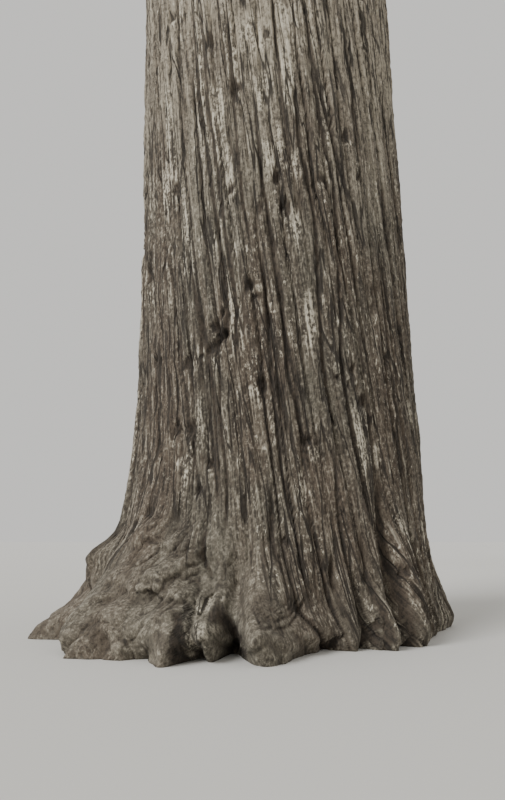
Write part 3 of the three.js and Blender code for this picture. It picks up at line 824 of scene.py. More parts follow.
# Swellings of the foot: bearing in degrees, then height, half width, half height and reach in
# metres. A reach below zero is a hollow.
SWELLINGS = [
    (-100, 0.36, 0.26, 0.4, 0.45), (-104.5, 0.2, 0.16, 0.35, 0.3), (-94.5, 0.3, 0.16, 0.5, 0.22),
    (-46, 0.5, 0.25, 1.0, 0.16), (-91, 0.55, 0.22, 0.4, 0.12), (-77, 0.22, 0.4, 0.25, 0.14),
    (-91, 0.22, 0.16, 0.28, 0.25), (-113, 0.45, 0.5, 0.35, 0.2), (-138, 0.5, 0.7, 0.45, 0.06),
    (-162, 1.28, 0.42, 0.26, 0.34), (-160, 0.92, 0.4, 0.2, 0.14), (-127, 0.72, 0.2, 0.22, -0.12),
    (-121, 0.25, 0.25, 0.16, -0.12), (-120, 1.05, 0.28, 0.22, 0.2), (-112, 0.72, 0.2, 0.16, 0.1),
    (-110, 1.0, 0.17, 0.18, -0.14), (-129, 1.3, 0.22, 0.2, -0.12), (-115, 1.45, 0.2, 0.22, 0.12),
    (-134, 1.6, 0.22, 0.2, 0.1), (-124, 1.75, 0.16, 0.2, -0.08), (-146, 1.2, 0.2, 0.25, 0.1),
]

# Knobs above the hump, each a dome: bearing in degrees, then height and size in metres.
KNOBS = [
    (-117.6, 1.08, 0.23), (-121, 0.9, 0.1), (-128.7, 1.32, 0.17), (-124.2, 1.2, 0.11),
    (-121.5, 1.51, 0.15), (-117, 1.42, 0.09), (-113.2, 1.3, 0.12), (-112.6, 1.07, 0.08),
    (-111.9, 0.82, 0.17), (-125.2, 1.6, 0.09), (-115.5, 1.72, 0.1), (-132, 1.75, 0.12),
]
KNOB_RISE, KNOB_ROUND, KNOB_RAGGED = 0.4, 0.7, 0.5
# The last of these is how much painted shade darkens the gaps beside the knobs.
KNOB_GAP, KNOB_GAP_DEPTH, KNOB_GAP_PAINTED_SHADE = 0.25, 0.03, 0.5

# Pits low on the foot, in the form that the ragged holes have.
PITS = [(-66.6, 0.06, 0.12), (-92.3, 0.09, 0.07), (-57, 0.22, 0.12)]

# The curled bark of the front burl: bearing and height, and the rings, width and depth of its folds.
FOLD_PLACE, FOLD_RINGS, FOLD_WIDTH, FOLD_DEPTH = (-86.5, 0.76), (0.09, 0.17, 0.25, 0.34), 0.036, 0.055
# The last of these is how much painted shade darkens the folds.
FOLD_RAGGED, FOLD_TOP_RAGGED, FOLD_TOP, FOLD_PAINTED_SHADE = 0.04, 0.1, (-0.05, 0.12), 0.5

# Torn pale bark of the small nub, on its top and in front, in the form of the pale patches. The
# front one is partly painted light too: it makes the shaded front of the nub paler.
TORN_TOP, TORN_AND_PAINTED_LIGHT_FRONT, TORN_AND_PAINTED_LIGHT_FRONT_SHARE = (-105, 0.66, 0.17, 0.17), (-102.5, 0.33, 0.24, 0.24), 0.6
TORN_SPAN, TORN_REACH = (1.1, 0.5), 0.05

# How high the burl reaches, by bearing in degrees.
BURL_TOPS = [
    (-180, 0.8), (-150, 0.8), (-135, 1.4), (-110, 1.7), (-99, 0.95), (-80, 0.85), (-70, 0.5),
    (-62, 0), (20, 0), (60, 0.9), (90, 0.3), (130, 1.2), (180, 0.8),
]

# How gnarled the burl is there.
BURL_GNARLS = [(-180, 0.3), (-140, 0.3), (-130, 1), (-95, 1), (-88, 0.3), (20, 0.5), (90, 1), (180, 0.3)]


def straightened(bearing, height):
    """The bearing that the grain at a point would have, if it ran straight up."""
    foot = FOOT_TURN * along(FOOT_TURNS, np.degrees(turned(bearing))) * np.exp(-height / FOOT_TURN_RISE)
    return bearing - foot + GRAIN_TURN * GRAIN_RISE * (1 - np.exp(-height / GRAIN_RISE))


def bark_place(bearing, height):
    """Where a point of the bark lies once its grain is made to run straight up a round post."""
    return on_round(BARK_ROUND, straightened(bearing, height), height)


def all_holes():
    holes = HOLES + PITS
    for k in range(FAR_HOLES):
        spans = (FAR_BEARINGS, FAR_HEIGHTS, FAR_SIZES)
        holes.append(tuple(drawn(span, k, HOLE_DRAW + n) for n, span in enumerate(spans)))
    return holes


def uneven(place, reach, seed, across, up):
    """Seeded noise on a place, with a reach and a size across and up."""
    return reach * Noise(seed)(place, across, up)


def peak(value, half_width):
    """1 where the value is zero, and straight down to 0 at half_width to either side."""
    return np.clip(1 - np.abs(value) / half_width, 0, 1)


def burl_share(bearing, height, plain):
    """Where the bark is lumpy burl in place of furrows, from 0 to 1."""
    top = along(BURL_TOPS, np.degrees(turned(bearing))) * (1 + uneven(plain, *TOP_DRIFT))
    return ramp(height, top + BURL_EDGE, top - BURL_EDGE)


def across_bark(bearing, at, height):
    """Metres round the trunk from a bearing in degrees."""
    return turned(bearing - np.radians(at)) * shaft_radius(height)


def creased(bearing, height, ragged):
    """How far the creases and cracks sink the bark, and how deep in one each point lies from 0 to 1."""
    sunk, deepest = np.zeros_like(bearing), np.zeros_like(bearing)
    for half_width, depth, way in CREASES + CRACKS:
        at, levels = zip(*way)
        off = across_bark(bearing, np.interp(height, levels, at), height) / half_width
        share = peak(off + CREASE_RAGGED * ragged, 1)
        end = min(CREASE_END, 0.5 * (levels[-1] - levels[0]))
        share *= ramp(height, levels[-1], levels[-1] - end)
        if levels[0] > 0:
            share *= ramp(height, levels[0], levels[0] + end)
        sunk += depth * share ** CREASE_ROUND
        deepest = np.maximum(deepest, share)
    return sunk, deepest


def swollen(bearing, height):
    """How far the foot's swellings stand out."""
    relief = np.zeros_like(bearing)
    for at, level, half_width, half_height, reach in SWELLINGS:
        off = (across_bark(bearing, at, height) / half_width) ** 2 + ((height - level) / half_height) ** 2
        relief += reach * np.exp(-off)
    return relief


def knobbed(bearing, height, ragged):
    """How far the knobs stand out, and how deep in the gaps beside them each point lies."""
    domes, nearest = np.zeros_like(bearing), np.full_like(bearing, np.inf)
    for at, level, size in KNOBS:
        off = np.hypot(across_bark(bearing, at, height), height - level) / size + KNOB_RAGGED * ragged
        domes = np.maximum(domes, KNOB_RISE * size * np.clip(1 - off ** 2, 0, 1) ** KNOB_ROUND)
        nearest = np.minimum(nearest, off)
    return domes, peak(nearest - 1, KNOB_GAP)


def folded(bearing, height, ragged):
    """How deep in the folds of the front burl each point lies, from 0 to 1."""
    at, level = FOLD_PLACE
    below = level - height
    away = np.hypot(across_bark(bearing, at, height), below) + FOLD_RAGGED * ragged
    rings = [peak(away - ring, FOLD_WIDTH) for ring in FOLD_RINGS]
    return np.max(rings, axis=0) * ramp(below + FOLD_TOP_RAGGED * ragged, *FOLD_TOP)


def holed(bearing, height, ragged, edge, speck):
    """How far the holes sink the bark, how deep in one each point lies, and how stained it is."""
    sunk, deepest, stained = (np.zeros_like(bearing) for _ in range(3))
    for at, level, size in all_holes():
        across, above = across_bark(bearing, at, level), height - level
        off = np.hypot(across, above / HOLE_TALL) / size + edge
        pit = np.maximum(ramp(off, *HOLE_SPAN), ramp(off, *PATCH_SPAN) * ramp(speck, *PIT_SPAN))
        sunk += HOLE_DEPTH * size * pit
        deepest = np.maximum(deepest, pit)
        off = np.hypot(across / STAIN_WIDE, (above + STAIN_BELOW * size) / STAIN_TALL) / size
        stained = np.maximum(stained, ramp(off + STAIN_RAGGED * ragged, *STAIN_SPAN))
    return sunk, deepest, stained


def patched(bearing, height, ragged, span, patches):
    """How far inside one of the patches each point lies, from 0 to 1."""
    shares = []
    for at, level, half_width, half_height in patches:
        off = np.hypot(across_bark(bearing, at, level) / half_width, (height - level) / half_height)
        shares.append(ramp(off + ragged, *span))
    return np.max(shares, axis=0)


class Strips:
    """Ridges that run up the trunk side by side, with a furrow between each two."""

    def __init__(self, place, turn, height, bark, seed, count, wander, across, up):
        self.count = round(bark.furrows * count)
        self.height = height
        self.seed = seed
        bend = uneven(place, 1, seed, across, up)
        bend += uneven(place, BEND_FINER, seed + 1, BEND_FINER * across, BEND_FINER * up)
        phase = turn * self.count / (2 * np.pi) + bark.wander * wander * bend
        self.edge = np.round(phase)
        self.off = phase - self.edge
        self.ridge = np.floor(phase)
        self.across = phase - self.ridge - 0.5
        self.width = 2 * np.pi * BARK_ROUND / self.count

    def own(self, which, turn, run):
        """Noise that each furrow or ridge has for itself, and that changes slowly along it."""
        number = np.mod(which, self.count) * STRIPS_APART
        place = np.stack([number, 0 * number + 0.5, self.height], axis=-1)
        return Noise(self.seed + turn)(place, 1, run)

    def ridges(self, reach, turn, run):
        return reach * self.own(self.ridge, turn, run)

    def furrow(self, half_width, run, start, full):
        """How deep in a furrow each point lies, from 0 to 1. Furrows come and go along their way."""
        strength = ramp(self.own(self.edge, 2, run), start, full)
        return strength * peak(self.off * self.width, half_width * mix(NARROWEST, 1, strength))


def furrowed(bearing, height, plain, bark):
    """The relief of furrowed bark, and how deep in a furrow and how pale each point is."""
    turn = straightened(bearing, height)
    main, cross, fine, split = (
        Strips(plain, turn, height, bark, *band) for band in (MAIN, CROSS, FINE, SPLIT))
    wide = bark.furrow_width * mix(1, UPPER_FURROWS, ramp(height, *FURROWS_WIDEN))
    deep = np.maximum(main.furrow(wide, *MAIN_RUN), cross.furrow(wide * CROSS_WIDER, *CROSS_RUN))
    crack = SPLIT_SHARE * split.furrow(SPLIT_WIDTH, *SPLIT_RUN)
    crack = np.maximum(fine.furrow(FINE_WIDTH, *FINE_RUN), crack) * ramp(height, *CRACKS_FADE)
    relief = sum(uneven(plain, *form) for form in BARK_FORMS)
    relief += main.ridges(*RIDGE_TILT) * main.across + main.ridges(*RIDGE_LIFT) + fine.ridges(*FINE_LIFT)
    relief -= RIDGE_CROWN * (2 * main.across) ** 2
    relief -= bark.furrow_depth * (deep ** FURROW_ROUND + CRACK_DEPTH * crack)
    pale = ramp(main.ridges(*RIDGE_PALE) + uneven(plain, *PALE_DRIFT), *PALE_SPAN)
    return relief, np.maximum(deep, CRACK_PAINTED_SHADE * crack), pale


def burled(bearing, plain, spot, bark):
    """The relief of lumpy burl, and how much painted shade darkens its creases and hollows."""
    lumps = sum(
        size ** LUMP_POWER * (np.abs(uneven(spot, 1, LUMP_SEED + n, size, size)) - LUMP_MIDDLE)
        for n, size in enumerate(LUMP_SIZES))
    gnarled = along(BURL_GNARLS, np.degrees(turned(bearing)))
    curly = mix(LEAST_CURLY, 1, gnarled * ramp(uneven(spot, *CURL), *CURL_SPAN))
    creases = peak(uneven(spot, *BURL_CREASE), CREASE_WIDTH) * curly
    relief = bark.burl_reach * LUMP_REACH * lumps * curly - CREASE_DEPTH * creases
    relief += uneven(spot, *BURL_GRAIN) + uneven(plain, *BURL_FIBRE)
    return relief, np.maximum(CREASE_PAINTED_SHADE * creases, HOLLOW_PAINTED_SHADE * ramp(lumps, *HOLLOW_SPAN))


def bark_relief(bearing, height, spot, plain, bark):
    """How far the bark stands out of the trunk's plain shape, and the marks that its finish reads."""
    burl = burl_share(bearing, height, plain)
    relief, furrow, pale = furrowed(bearing, height, plain, bark)
    lumpy, dark = burled(bearing, plain, spot, bark)
    relief, furrow, pale = mix(relief, lumpy, burl), mix(furrow, dark, burl), pale * (1 - burl)
    ragged, speck = uneven(spot, *RAGGED), uneven(spot, *SPECK)
    rough = ramp(uneven(spot, *ROUGH), *ROUGH_SPAN) * (1 - burl)
    pocks, flecks = rough * ramp(speck, *POCK_SPAN), ramp(speck, *FLECK_SPAN)
    sunk, creases = creased(bearing, height, ragged)
    domes, gaps = knobbed(bearing, height, ragged)
    folds = folded(bearing, height, ragged)
    dug, holes, stained = holed(bearing, height, ragged, ragged + uneven(spot, *HOLE_RAGGED), speck)
    flaked = patched(bearing, height, FLAKE_RAGGED * ragged, FLAKE_SPAN, PALE_PATCHES)
    # The nub's torn pale bark; in front it is partly painted light, which makes the shaded front paler.
    torn = np.maximum(
        patched(bearing, height, ragged, TORN_SPAN, [TORN_TOP]),
        TORN_AND_PAINTED_LIGHT_FRONT_SHARE * patched(bearing, height, ragged, TORN_SPAN, [TORN_AND_PAINTED_LIGHT_FRONT]))
    relief += swollen(bearing, height) + domes + torn * (TORN_REACH + uneven(plain, *TORN_FIBRE))
    relief -= sunk + dug + FOLD_DEPTH * folds + KNOB_GAP_DEPTH * gaps + POCK_DEPTH * pocks
    relief -= FOOT_TUCK * burl * np.exp(-(height / FOOT_TUCK_RISE) ** 2)
    # The furrow mark darkens the finish: in the furrows partly as darker bark and partly as painted
    # shade, and in the creases, holes, pocks, folds and gaps as painted shade.
    furrow = np.maximum.reduce([furrow, creases, holes, pocks, FOLD_PAINTED_SHADE * folds, KNOB_GAP_PAINTED_SHADE * gaps])
    pale = np.maximum.reduce([pale, rough * flecks, stained * flecks * (1 - burl), flaked, torn])
    return relief, {"furrow": furrow, "burl": burl * (1 - torn), "pale": pale, "bark_place": plain}


def trunk_rows(stretches, columns):
    """Heights of a piece's rows, with the number of columns in each."""
    rows = []
    for low, high, share, step in stretches:
        count = round((high - low) / step)
        heights = np.linspace(low, high, count + 1)
        rows += [(height, round(columns * share)) for height in heights[1 if rows else 0:]]
    return rows


def trunk_piece(name, stretches, bark, finish):
    rows = trunk_rows(stretches, bark.columns)
    bearing = np.concatenate([full_turn(count) for _, count in rows])
    height = np.concatenate([np.full(count, level) for level, count in rows])
    radius = trunk_radius(bearing, height)
    outward = on_round(1, bearing, 0)
    spot = trunk_axis(height) + radius[:, None] * outward
    relief, marks = bark_relief(bearing, height, spot, bark_place(bearing, height), bark)
    points = spot + (relief * ramp(radius, *RELIEF_SPAN))[:, None] * outward
    marks["spot"] = points
    firsts = np.concatenate([[0], np.cumsum([count for _, count in rows])])
    faces = []
    for n in range(1, len(rows)):
        faces += ring_faces(firsts[n - 1], rows[n - 1][1], firsts[n], rows[n][1])
    for level, turn in ((0, -1), (TREE_HEIGHT, 1)):
        ends = np.flatnonzero(height == level)
        if len(ends):
            centre = np.full(len(ends), len(points))
            points = np.vstack([points, trunk_axis(level) * (level > 0)])
            edge = [ends, np.roll(ends, -1)][::turn]
            faces.append(np.stack([centre, *edge], axis=1))
    spare = len(points) - len(bearing)
    for mark, values in marks.items():
        marks[mark] = np.concatenate([values, np.zeros((spare, *values.shape[1:]))])
    return mesh_piece(name, points, np.concatenate(faces), [finish], **marks)


class REDWOOD_OT_trunk(Operator):
    """Build the trunk with the relief of its bark"""

    bl_idname = "redwood.trunk"
    bl_label = "Trunk"

    def execute(self, context):
        bark = context.scene.redwood_bark
        finish = bark_finish("bark", bark)
        for name, stretches in TRUNK_PIECES:
            dress(trunk_piece(name, stretches, bark, finish), ["trunk"])
        return {"FINISHED"}


# Boughs, each with its stem on through the mass

LIMB_RINGS, LIMB_SIDES, LIMB_LAST = 30, 16, 0.97
LIMB_RADII = [(0, BOUGH_ROOT * 1.25), (0.07, BOUGH_ROOT), (BOUGH_SHARE, BOUGH_END), (1, 0.035)]

# The bark of all limbs is read off one round post, a stretch of it for each limb, in metres.
POST_ROUND, POST_RUN, POSTS_APART = 0.35, 9, 40
KNOTS, LIMB_WAVE = (1, 51, 0.16, 0.9), (0.2, 52, 0.4, 0.35)
KNOT_SWELL, KNOT_DARK, KNOT_DARKEST = 0.3, 2, 0.7


class REDWOOD_OT_boughs(Operator):
    """Build the boughs, each with its stem through the mass of foliage"""

    bl_idname = "redwood.boughs"
    bl_label = "Boughs"

    def execute(self, context):
        shares = np.linspace(0, LIMB_LAST, LIMB_RINGS)
        centres = np.stack([limb_point(limb, shares) for limb in LIMBS])
        radii = np.stack([limb["thick"] * along(LIMB_RADII, shares) for limb in LIMBS])
        up = np.arange(len(LIMBS))[:, None, None] * POSTS_APART + shares[:, None] * POST_RUN
        place = on_round(POST_ROUND, full_turn(LIMB_SIDES), up)
        knots = uneven(place, *KNOTS)
        swell = 1 + KNOT_SWELL * knots + uneven(place, *LIMB_WAVE)
        points, faces = tubes(centres, radii, LIMB_SIDES, swell)
        furrow = np.clip(-KNOT_DARK * knots, 0, KNOT_DARKEST).ravel()
        finish = wood_finish("bough_bark", context.scene.redwood_crown)
        piece = mesh_piece(
            "boughs", points, faces, [finish], bark_place=place.reshape(-1, 3), furrow=furrow)
        dress(piece, [limb["bough"] for limb in LIMBS if limb["bough"]])
        return {"FINISHED"}


# Twigs, sprays and needles

def grown_twigs(limb, rounds):
    """The twigs of one limb. Round 0 has those of the solids, and later rounds grow between them."""
    twigs = []
    for again in range(rounds):
        seed = limb["id"] + ROUND_STEP * again
        for n in range(TWIG_COUNT):
            place = (n + again / rounds) / (TWIG_COUNT - 1)
            share = min(mix(limb["share"] + TWIG_FIRST, TWIG_LAST, place), TWIG_UTMOST)
            out = (share - limb["share"]) / (1 - limb["share"])
            start = limb_point(limb, share)
            ahead, side, up = frame_of(limb_direction(limb, share))
            hand = -1 if (n + again) % 2 else 1
            forward = TWIG_FORWARD * drawn(TWIG_FORWARDS, seed, FORWARD_DRAW + n)
            tilt = TWIG_STEEPEST * drawn(TWIG_TILTS, seed, TILT_DRAW + n)
            direction = unit(swung(ahead, swung(side * hand, up, tilt), forward))
            length = TWIG_LENGTH * limb["spread"] * mix(*TWIG_SHORTENS, out)
            end = start + direction * length * drawn(TWIG_LENGTHS, seed, LENGTH_DRAW + n)
            if np.all(fits(start + (end - start) * np.array(TWIG_CHECKS)[:, None], limb["id"])):
                thick = mix(STEM_ROOT, STEM_END, out) * limb["thick"]
                twigs.append({"seed": seed, "n": n, "again": again, "start": start, "end": end,
                              "direction": direction, "thick": thick})
    return twigs


def spray_sites(limb, twigs):
    """Root, direction, roll and size of each spray that the limb's twigs could carry."""
    sites = []
    full = mix(*SPRAY_FULL, limb["spread"])
    for twig in twigs:
        for k, (part, away) in enumerate(SPRAY_SEATS + FINE_SEATS):
            extra = k >= len(SPRAY_SEATS)
            turn = SPRAY_DRAW + TWIG_STEP * twig["n"] + SEAT_STEP * k
            seed = twig["seed"] + (FINE_STEP * k if extra else 0)
            hand = -1 if (twig["n"] + k) % 2 else 1
            ahead, side, _ = frame_of(twig["direction"])
            splay = hand * away * drawn(SPRAY_STRAYS, seed, turn)
            direction = unit(swung(ahead, side, splay) - UP * SPRAY_DROOP * draw(seed, turn + 1))
            roll = stray(2 * SPRAY_ROLL, seed, turn)
            size = full * drawn(SPRAY_STRAYS, seed, turn + 2)
            size *= FINE_SIZE if extra or twig["again"] else 1
            sites.append((mix(twig["start"], twig["end"], part), direction, roll, size))
    tip_roll = stray(2 * SPRAY_ROLL, limb["id"], TIP_ROLL_DRAW)
    tip_size = full * drawn(SPRAY_STRAYS, limb["id"], TIP_SIZE_DRAW)
    sites.append((limb_point(limb, TIP_PLACE), limb_direction(limb, TIP_PLACE), tip_roll, tip_size))
    return sites


def grown_sprays(limb, twigs):
    """The sprays that fit in the limb's own space: root, three directions and size, as arrays."""
    root, aim, roll, full = columns(spray_sites(limb, twigs))
    ahead, side, up = frame_of(aim)
    side, up = swung(side, up, roll), swung(up, -side, roll)
    size = np.zeros(len(root))
    out, across = np.array(SPRAY_RIM).T[:, None, :, None]
    for share in SPRAY_SIZES:
        length, width = ((full * share * most)[:, None, None] for most in (SPRAY_LENGTH, SPRAY_WIDTH))
        rim = root[:, None] + ahead[:, None] * out * length - side[:, None] * across * width
        good = fits(rim.reshape(-1, 3), limb["id"]).reshape(rim.shape[:2]).all(axis=1)
        size = np.where((size == 0) & good, full * share, size)
    keep = size > 0
    return root[keep], ahead[keep], side[keep], up[keep], size[keep]


# Branchlets of a spray: the fewest, their places along it, how they lean, what their reach keeps
# at the ends, and how unevenly they turn up and hang.
BRANCHLETS_LEAST, BRANCHLET_PLACES, BRANCHLET_LEAN, BRANCHLET_LEANS = 4, (0.06, 0.97), 0.85, (0.8, 1.15)
BRANCHLET_REACHES, BRANCHLET_LEAST, BRANCHLET_SWELLS = (0.8, 1.1), 0.12, 0.8
BRANCHLET_SAG, BRANCHLET_TURN, BRANCHLET_HANG, BRANCHLET_BARE = 0.1, 0.14, 0.12, 0.85

# Sprigs of a branchlet, in the same way.
SPRIG_SEAT, SPRIG_SPLAYS, SPRIG_LENGTHS = 0.6, (0.55, 0.95), (0.75, 1.15)
SPRIG_TURN, SPRIG_HANG, SPRIG_ROLL, SPRIG_SAG = 0.22, 0.1, 0.25, 0.06


def both_hands(count):
    """1 and -1 by turns."""
    return np.where(np.arange(count) % 2, 1, -1)


def spray_branchlets(spray, crown, random):
    """Branchlets of one flat spray: where they start, which way they run and how long they are."""
    root, ahead, side, up, size = spray
    length, width = SPRAY_LENGTH * size, SPRAY_WIDTH * size
    count = max(BRANCHLETS_LEAST, round(length / crown.branchlet_gap))
    part = mix(*BRANCHLET_PLACES, (np.arange(count) + 0.5) / count)
    lean = BRANCHLET_LEAN * random.uniform(*BRANCHLET_LEANS, count)
    half = width * 0.5 * np.sin(np.pi * part ** BRANCHLET_SWELLS) / np.sin(lean)
    reach = half * random.uniform(*BRANCHLET_REACHES, count) + BRANCHLET_LEAST
    start = root + ahead * (length * part)[:, None] - UP * (BRANCHLET_SAG * length * part ** 2)[:, None]
    direction = unit(
        swung(ahead, side, both_hands(count) * lean)
        + up * random.normal(0, BRANCHLET_TURN, count)[:, None] - UP * BRANCHLET_HANG)
    normal = unit(np.cross(direction, np.cross(up, direction)))
    return start, direction, normal, reach


def branchlet_sprigs(start, direction, normal, reach, crown, random):
    """Sprigs of one branchlet, to both sides and one at its end: root, two directions and length."""
    count = max(1, round(reach / crown.sprig_gap))
    part = (np.arange(count) + SPRIG_SEAT) / count
    hand = both_hands(count)
    hand[-1] = 0
    splay = hand * random.uniform(*SPRIG_SPLAYS, count)
    aim = unit(
        swung(direction, np.cross(normal, direction), splay)
        + normal * random.normal(0, SPRIG_TURN, count)[:, None] - UP * SPRIG_HANG)
    face = unit(np.cross(aim, np.cross(normal + random.normal(0, SPRIG_ROLL, (count, 3)), aim)))
    at = start + direction * (reach * part * BRANCHLET_BARE)[:, None]
    at -= UP * (SPRIG_SAG * reach * part ** 2)[:, None]
    return np.column_stack([at, aim, face, crown.sprig_length * random.uniform(*SPRIG_LENGTHS, count)])


# A sprig's needles, on a stalk of length 1: where each pair stands, and how far it reaches.
NEEDLE_PAIRS = [(0.08, 0.22), (0.24, 0.29), (0.4, 0.31), (0.56, 0.29), (0.72, 0.22)]
NEEDLE_HALF, NEEDLE_LEAN, NEEDLE_DIP = 0.055, 0.15, -0.05
STALK_HALF, STALK_DIP = 0.02, -0.03


def sprig_pattern():
    """Points and triangles of one flat sprig of needles on a stalk of length 1."""
    points = [(0, STALK_HALF, 0), (0, -STALK_HALF, 0), (1, 0, STALK_DIP)]
    faces = [(0, 1, 2)]
    for place, reach in NEEDLE_PAIRS:
        first = len(points)
        points += [(place - NEEDLE_HALF, 0, 0), (place + NEEDLE_HALF, 0, 0)]
        points += [(place + NEEDLE_LEAN, hand * reach, NEEDLE_DIP) for hand in (1, -1)]
        faces += [(first, first + 1, first + 2), (first + 1, first, first + 3)]
    return np.array(points), np.array(faces)


def sprig_mesh(sprigs):
    """Every sprig's copy of the pattern, as points and triangles."""
    pattern, faces = sprig_pattern()
    at, aim, face, length = sprigs[:, 0:3], sprigs[:, 3:6], sprigs[:, 6:9], sprigs[:, 9]
    across = np.cross(face, aim)
    x, y, z = (pattern[:, axis, None] for axis in range(3))
    local = x * aim[:, None] + y * across[:, None] + z * face[:, None]
    points = at[:, None] + local * length[:, None, None]
    triangles = faces + (np.arange(len(sprigs)) * len(pattern))[:, None, None]
    return points.reshape(-1, 3), triangles.reshape(-1, 3)


# Tints are dealt out to the sprays, about a middle one and with this spread.
TINT_COUNT, TINT_MIDDLE, TINT_SPREAD = 5, 1.6, 1.1
CROWN_SEED, FOLIAGE_FACES = 700, 190000

# Bars are twigs and spray stalks: how far they hang, their thickness and that of their end beside
# what each one brings, and their sides.
BAR_RINGS, TWIG_BARS, STALK_BARS = 4, (0, 0.42, 0.5, 5), (0.4, 0.05, 0.25, 3)
STALK_HANG, SLIP_HALF = 0.1, 0.022


def grow_crown(crown):
    """Every twig and spray stalk, every branchlet, and every sprig with its tint and its limb."""
    twigs, stalks, branchlets, sprigs = [], [], [], []
    for limb in LIMBS:
        random = np.random.default_rng(CROWN_SEED + limb["id"])
        grown = grown_twigs(limb, crown.rounds)
        twigs += [(twig["start"], twig["end"], twig["thick"]) for twig in grown]
        for spray in zip(*grown_sprays(limb, grown)):
            root, ahead, _, _, size = spray
            length = SPRAY_LENGTH * size
            stalks.append((root, root + ahead * length - UP * STALK_HANG * length, size))
            rows = list(zip(*spray_branchlets(spray, crown, random)))
            branchlets += [(start, start + aim * reach * BRANCHLET_BARE) for start, aim, _, reach in rows]
            own = np.concatenate([branchlet_sprigs(*row, crown, random) for row in rows])
            tint = np.clip(round(random.normal(TINT_MIDDLE, TINT_SPREAD)), 0, TINT_COUNT - 1)
            sprigs.append(np.column_stack([own, np.full((len(own), 2), (tint, limb["id"]))]))
    return twigs, stalks, branchlets, np.concatenate(sprigs)


def slips(start, end):
    """One long thin triangle from each start to each end."""
    side = SLIP_HALF * unit(np.cross(end - start, UP))
    points = np.stack([start + side, start - side, end], axis=1).reshape(-1, 3)
    return points, np.arange(len(points)).reshape(-1, 3)


def bars(rows, hang, thick, taper, sides):
    """Bars from each start to each end, which hang down between the two."""
    start, end, size = columns(rows)
    share = np.linspace(0, 1, BAR_RINGS)[:, None]
    centres = start[:, None] + (end - start)[:, None] * share
    centres += UP * (hang * size[:, None, None] * (share - share ** 2))
    return tubes(centres, thick * size[:, None] * np.linspace(1, taper, BAR_RINGS), sides)


class REDWOOD_OT_crown(Operator):
    """Grow the twigs, branchlets and needles of every mass of foliage"""

    bl_idname = "redwood.crown"
    bl_label = "Twigs and needles"

    def execute(self, context):
        crown = context.scene.redwood_crown
        twigs, stalks, branchlets, sprigs = grow_crown(crown)
        points, faces = joined([
            bars(twigs, *TWIG_BARS), bars(stalks, *STALK_BARS), slips(*columns(branchlets))])
        finish = wood_finish("twig_bark", crown)
        piece = mesh_piece(
            "twigs", points, faces, [finish], bark_place=points, furrow=np.zeros(len(points)))
        dress(piece, [limb["node"] for limb in LIMBS])
        self.needles(crown, sprigs)
        return {"FINISHED"}

    def needles(self, crown, sprigs):
        finishes = []
        for n in range(TINT_COUNT):
            share = n / (TINT_COUNT - 1)
            colour = [mix(a, b, share) for a, b in zip(crown.needles_dark, crown.needles_light)]
            finishes.append(plain_finish(f"needles_{n + 1}", NEEDLE_ROUGHNESS, colour))
        per_sprig = len(sprig_pattern()[1])
        pieces = math.ceil(len(sprigs) / (FOLIAGE_FACES // per_sprig))
        for n, pick in enumerate(np.array_split(sprigs, pieces)):
            tints, owners = pick[:, -2:].astype(int).T
            piece = mesh_piece(
                f"needles_{n + 1}", *sprig_mesh(pick), finishes,
                tints=np.repeat(tints, per_sprig), smooth=False)
            dress(piece, [LIMBS[owner]["node"] for owner in np.unique(owners)])


# Stage

# The view: a level camera near the ground, whose frame is raised to show the trunk above it.
CAMERA_PLACE, CAMERA_TURN, CAMERA_FAR = (0.016, -4.603, 0.571), (90, 0, 0), 1000
LENS_PIXELS, HORIZON_PIXEL, FRAME_HEIGHT, SENSOR = 700, 541, 800, 36
FLOOR_REACH, FLOOR_SIDES, FLOOR_ROUGHNESS = 400, 64, 0.9
KEY_TURN, KEY_SOFTNESS, SKY_COLOUR = (52, 0, -48), 28, (1.0, 0.985, 0.95, 1)


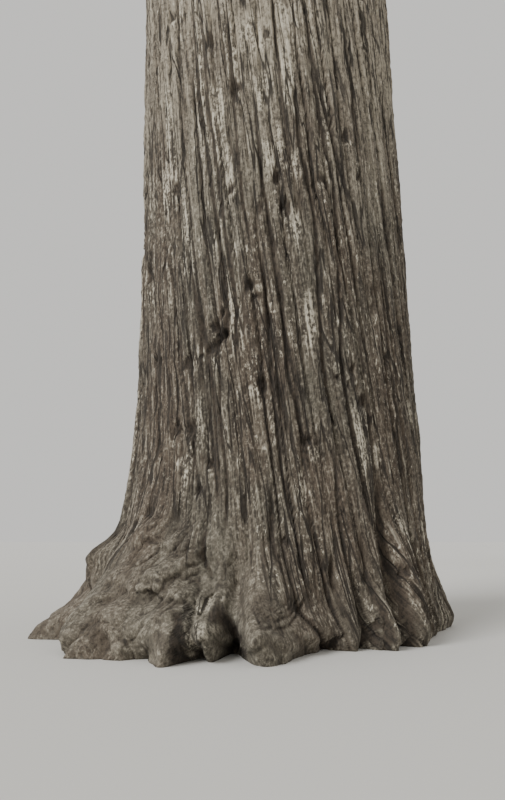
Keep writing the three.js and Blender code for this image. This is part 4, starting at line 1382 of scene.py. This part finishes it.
class REDWOOD_OT_stage(Operator):
    """Set up the floor, the lights and the camera"""

    bl_idname = "redwood.stage"
    bl_label = "Stage"

    def execute(self, context):
        stage = context.scene.redwood_stage
        self.floor(stage)
        self.lights(context, stage)
        self.camera(context)
        return {"FINISHED"}

    def floor(self, stage):
        points = on_round(FLOOR_REACH / SCALE, full_turn(FLOOR_SIDES), 0)
        k = np.arange(1, FLOOR_SIDES - 1)
        finish = plain_finish("floor", FLOOR_ROUGHNESS, stage.floor)
        mesh_piece("floor", points, np.stack([0 * k, k, k + 1], axis=1), [finish])

    def lights(self, context, stage):
        sun = bpy.data.lights.new("key", "SUN")
        sun.energy = stage.key
        sun.angle = math.radians(KEY_SOFTNESS)
        key = bpy.data.objects.new("key", sun)
        key.rotation_euler = np.radians(KEY_TURN)
        context.scene.collection.objects.link(key)
        world = bpy.data.worlds.new("sky")
        world.use_nodes = True
        background = world.node_tree.nodes["Background"]
        background.inputs["Color"].default_value = SKY_COLOUR
        background.inputs["Strength"].default_value = stage.sky
        context.scene.world = world

    def camera(self, context):
        lens = bpy.data.cameras.new("camera")
        lens.sensor_width = SENSOR
        lens.lens = SENSOR * LENS_PIXELS / FRAME_HEIGHT
        lens.shift_y = (HORIZON_PIXEL - FRAME_HEIGHT / 2) / FRAME_HEIGHT
        lens.clip_end = CAMERA_FAR
        camera = bpy.data.objects.new("camera", lens)
        camera.location = CAMERA_PLACE
        camera.rotation_euler = np.radians(CAMERA_TURN)
        context.scene.collection.objects.link(camera)
        context.scene.camera = camera


class REDWOOD_PT_panel(Panel):
    """Everything that builds the tree, with its settings"""

    bl_label = "Redwood"
    bl_idname = "REDWOOD_PT_panel"
    bl_space_type = "VIEW_3D"
    bl_region_type = "UI"
    bl_category = "Redwood"

    def draw(self, context):
        for group in GROUPS:
            box = self.layout.box()
            settings = getattr(context.scene, group)
            for name in settings.__annotations__:
                box.prop(settings, name)
        for operator in OPERATORS:
            self.layout.operator(operator.bl_idname)


GROUPS = {
    "redwood_bark": RedwoodBark,
    "redwood_crown": RedwoodCrown,
    "redwood_stage": RedwoodStage,
}
OPERATORS = (REDWOOD_OT_trunk, REDWOOD_OT_boughs, REDWOOD_OT_crown, REDWOOD_OT_stage)
CLASSES = (*GROUPS.values(), *OPERATORS, REDWOOD_PT_panel)


def register():
    for part in CLASSES:
        bpy.utils.register_class(part)
    for name, group in GROUPS.items():
        setattr(bpy.types.Scene, name, PointerProperty(type=group))


def unregister():
    for name in GROUPS:
        delattr(bpy.types.Scene, name)
    for part in reversed(CLASSES):
        bpy.utils.unregister_class(part)


def plain(box):
    return [[float(number) for number in corner] for corner in box]


def main():
    register()
    bpy.ops.redwood.trunk()
    bpy.ops.redwood.boughs()
    bpy.ops.redwood.crown()
    bpy.ops.redwood.stage()
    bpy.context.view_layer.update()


if __name__ == "__main__":
    main()
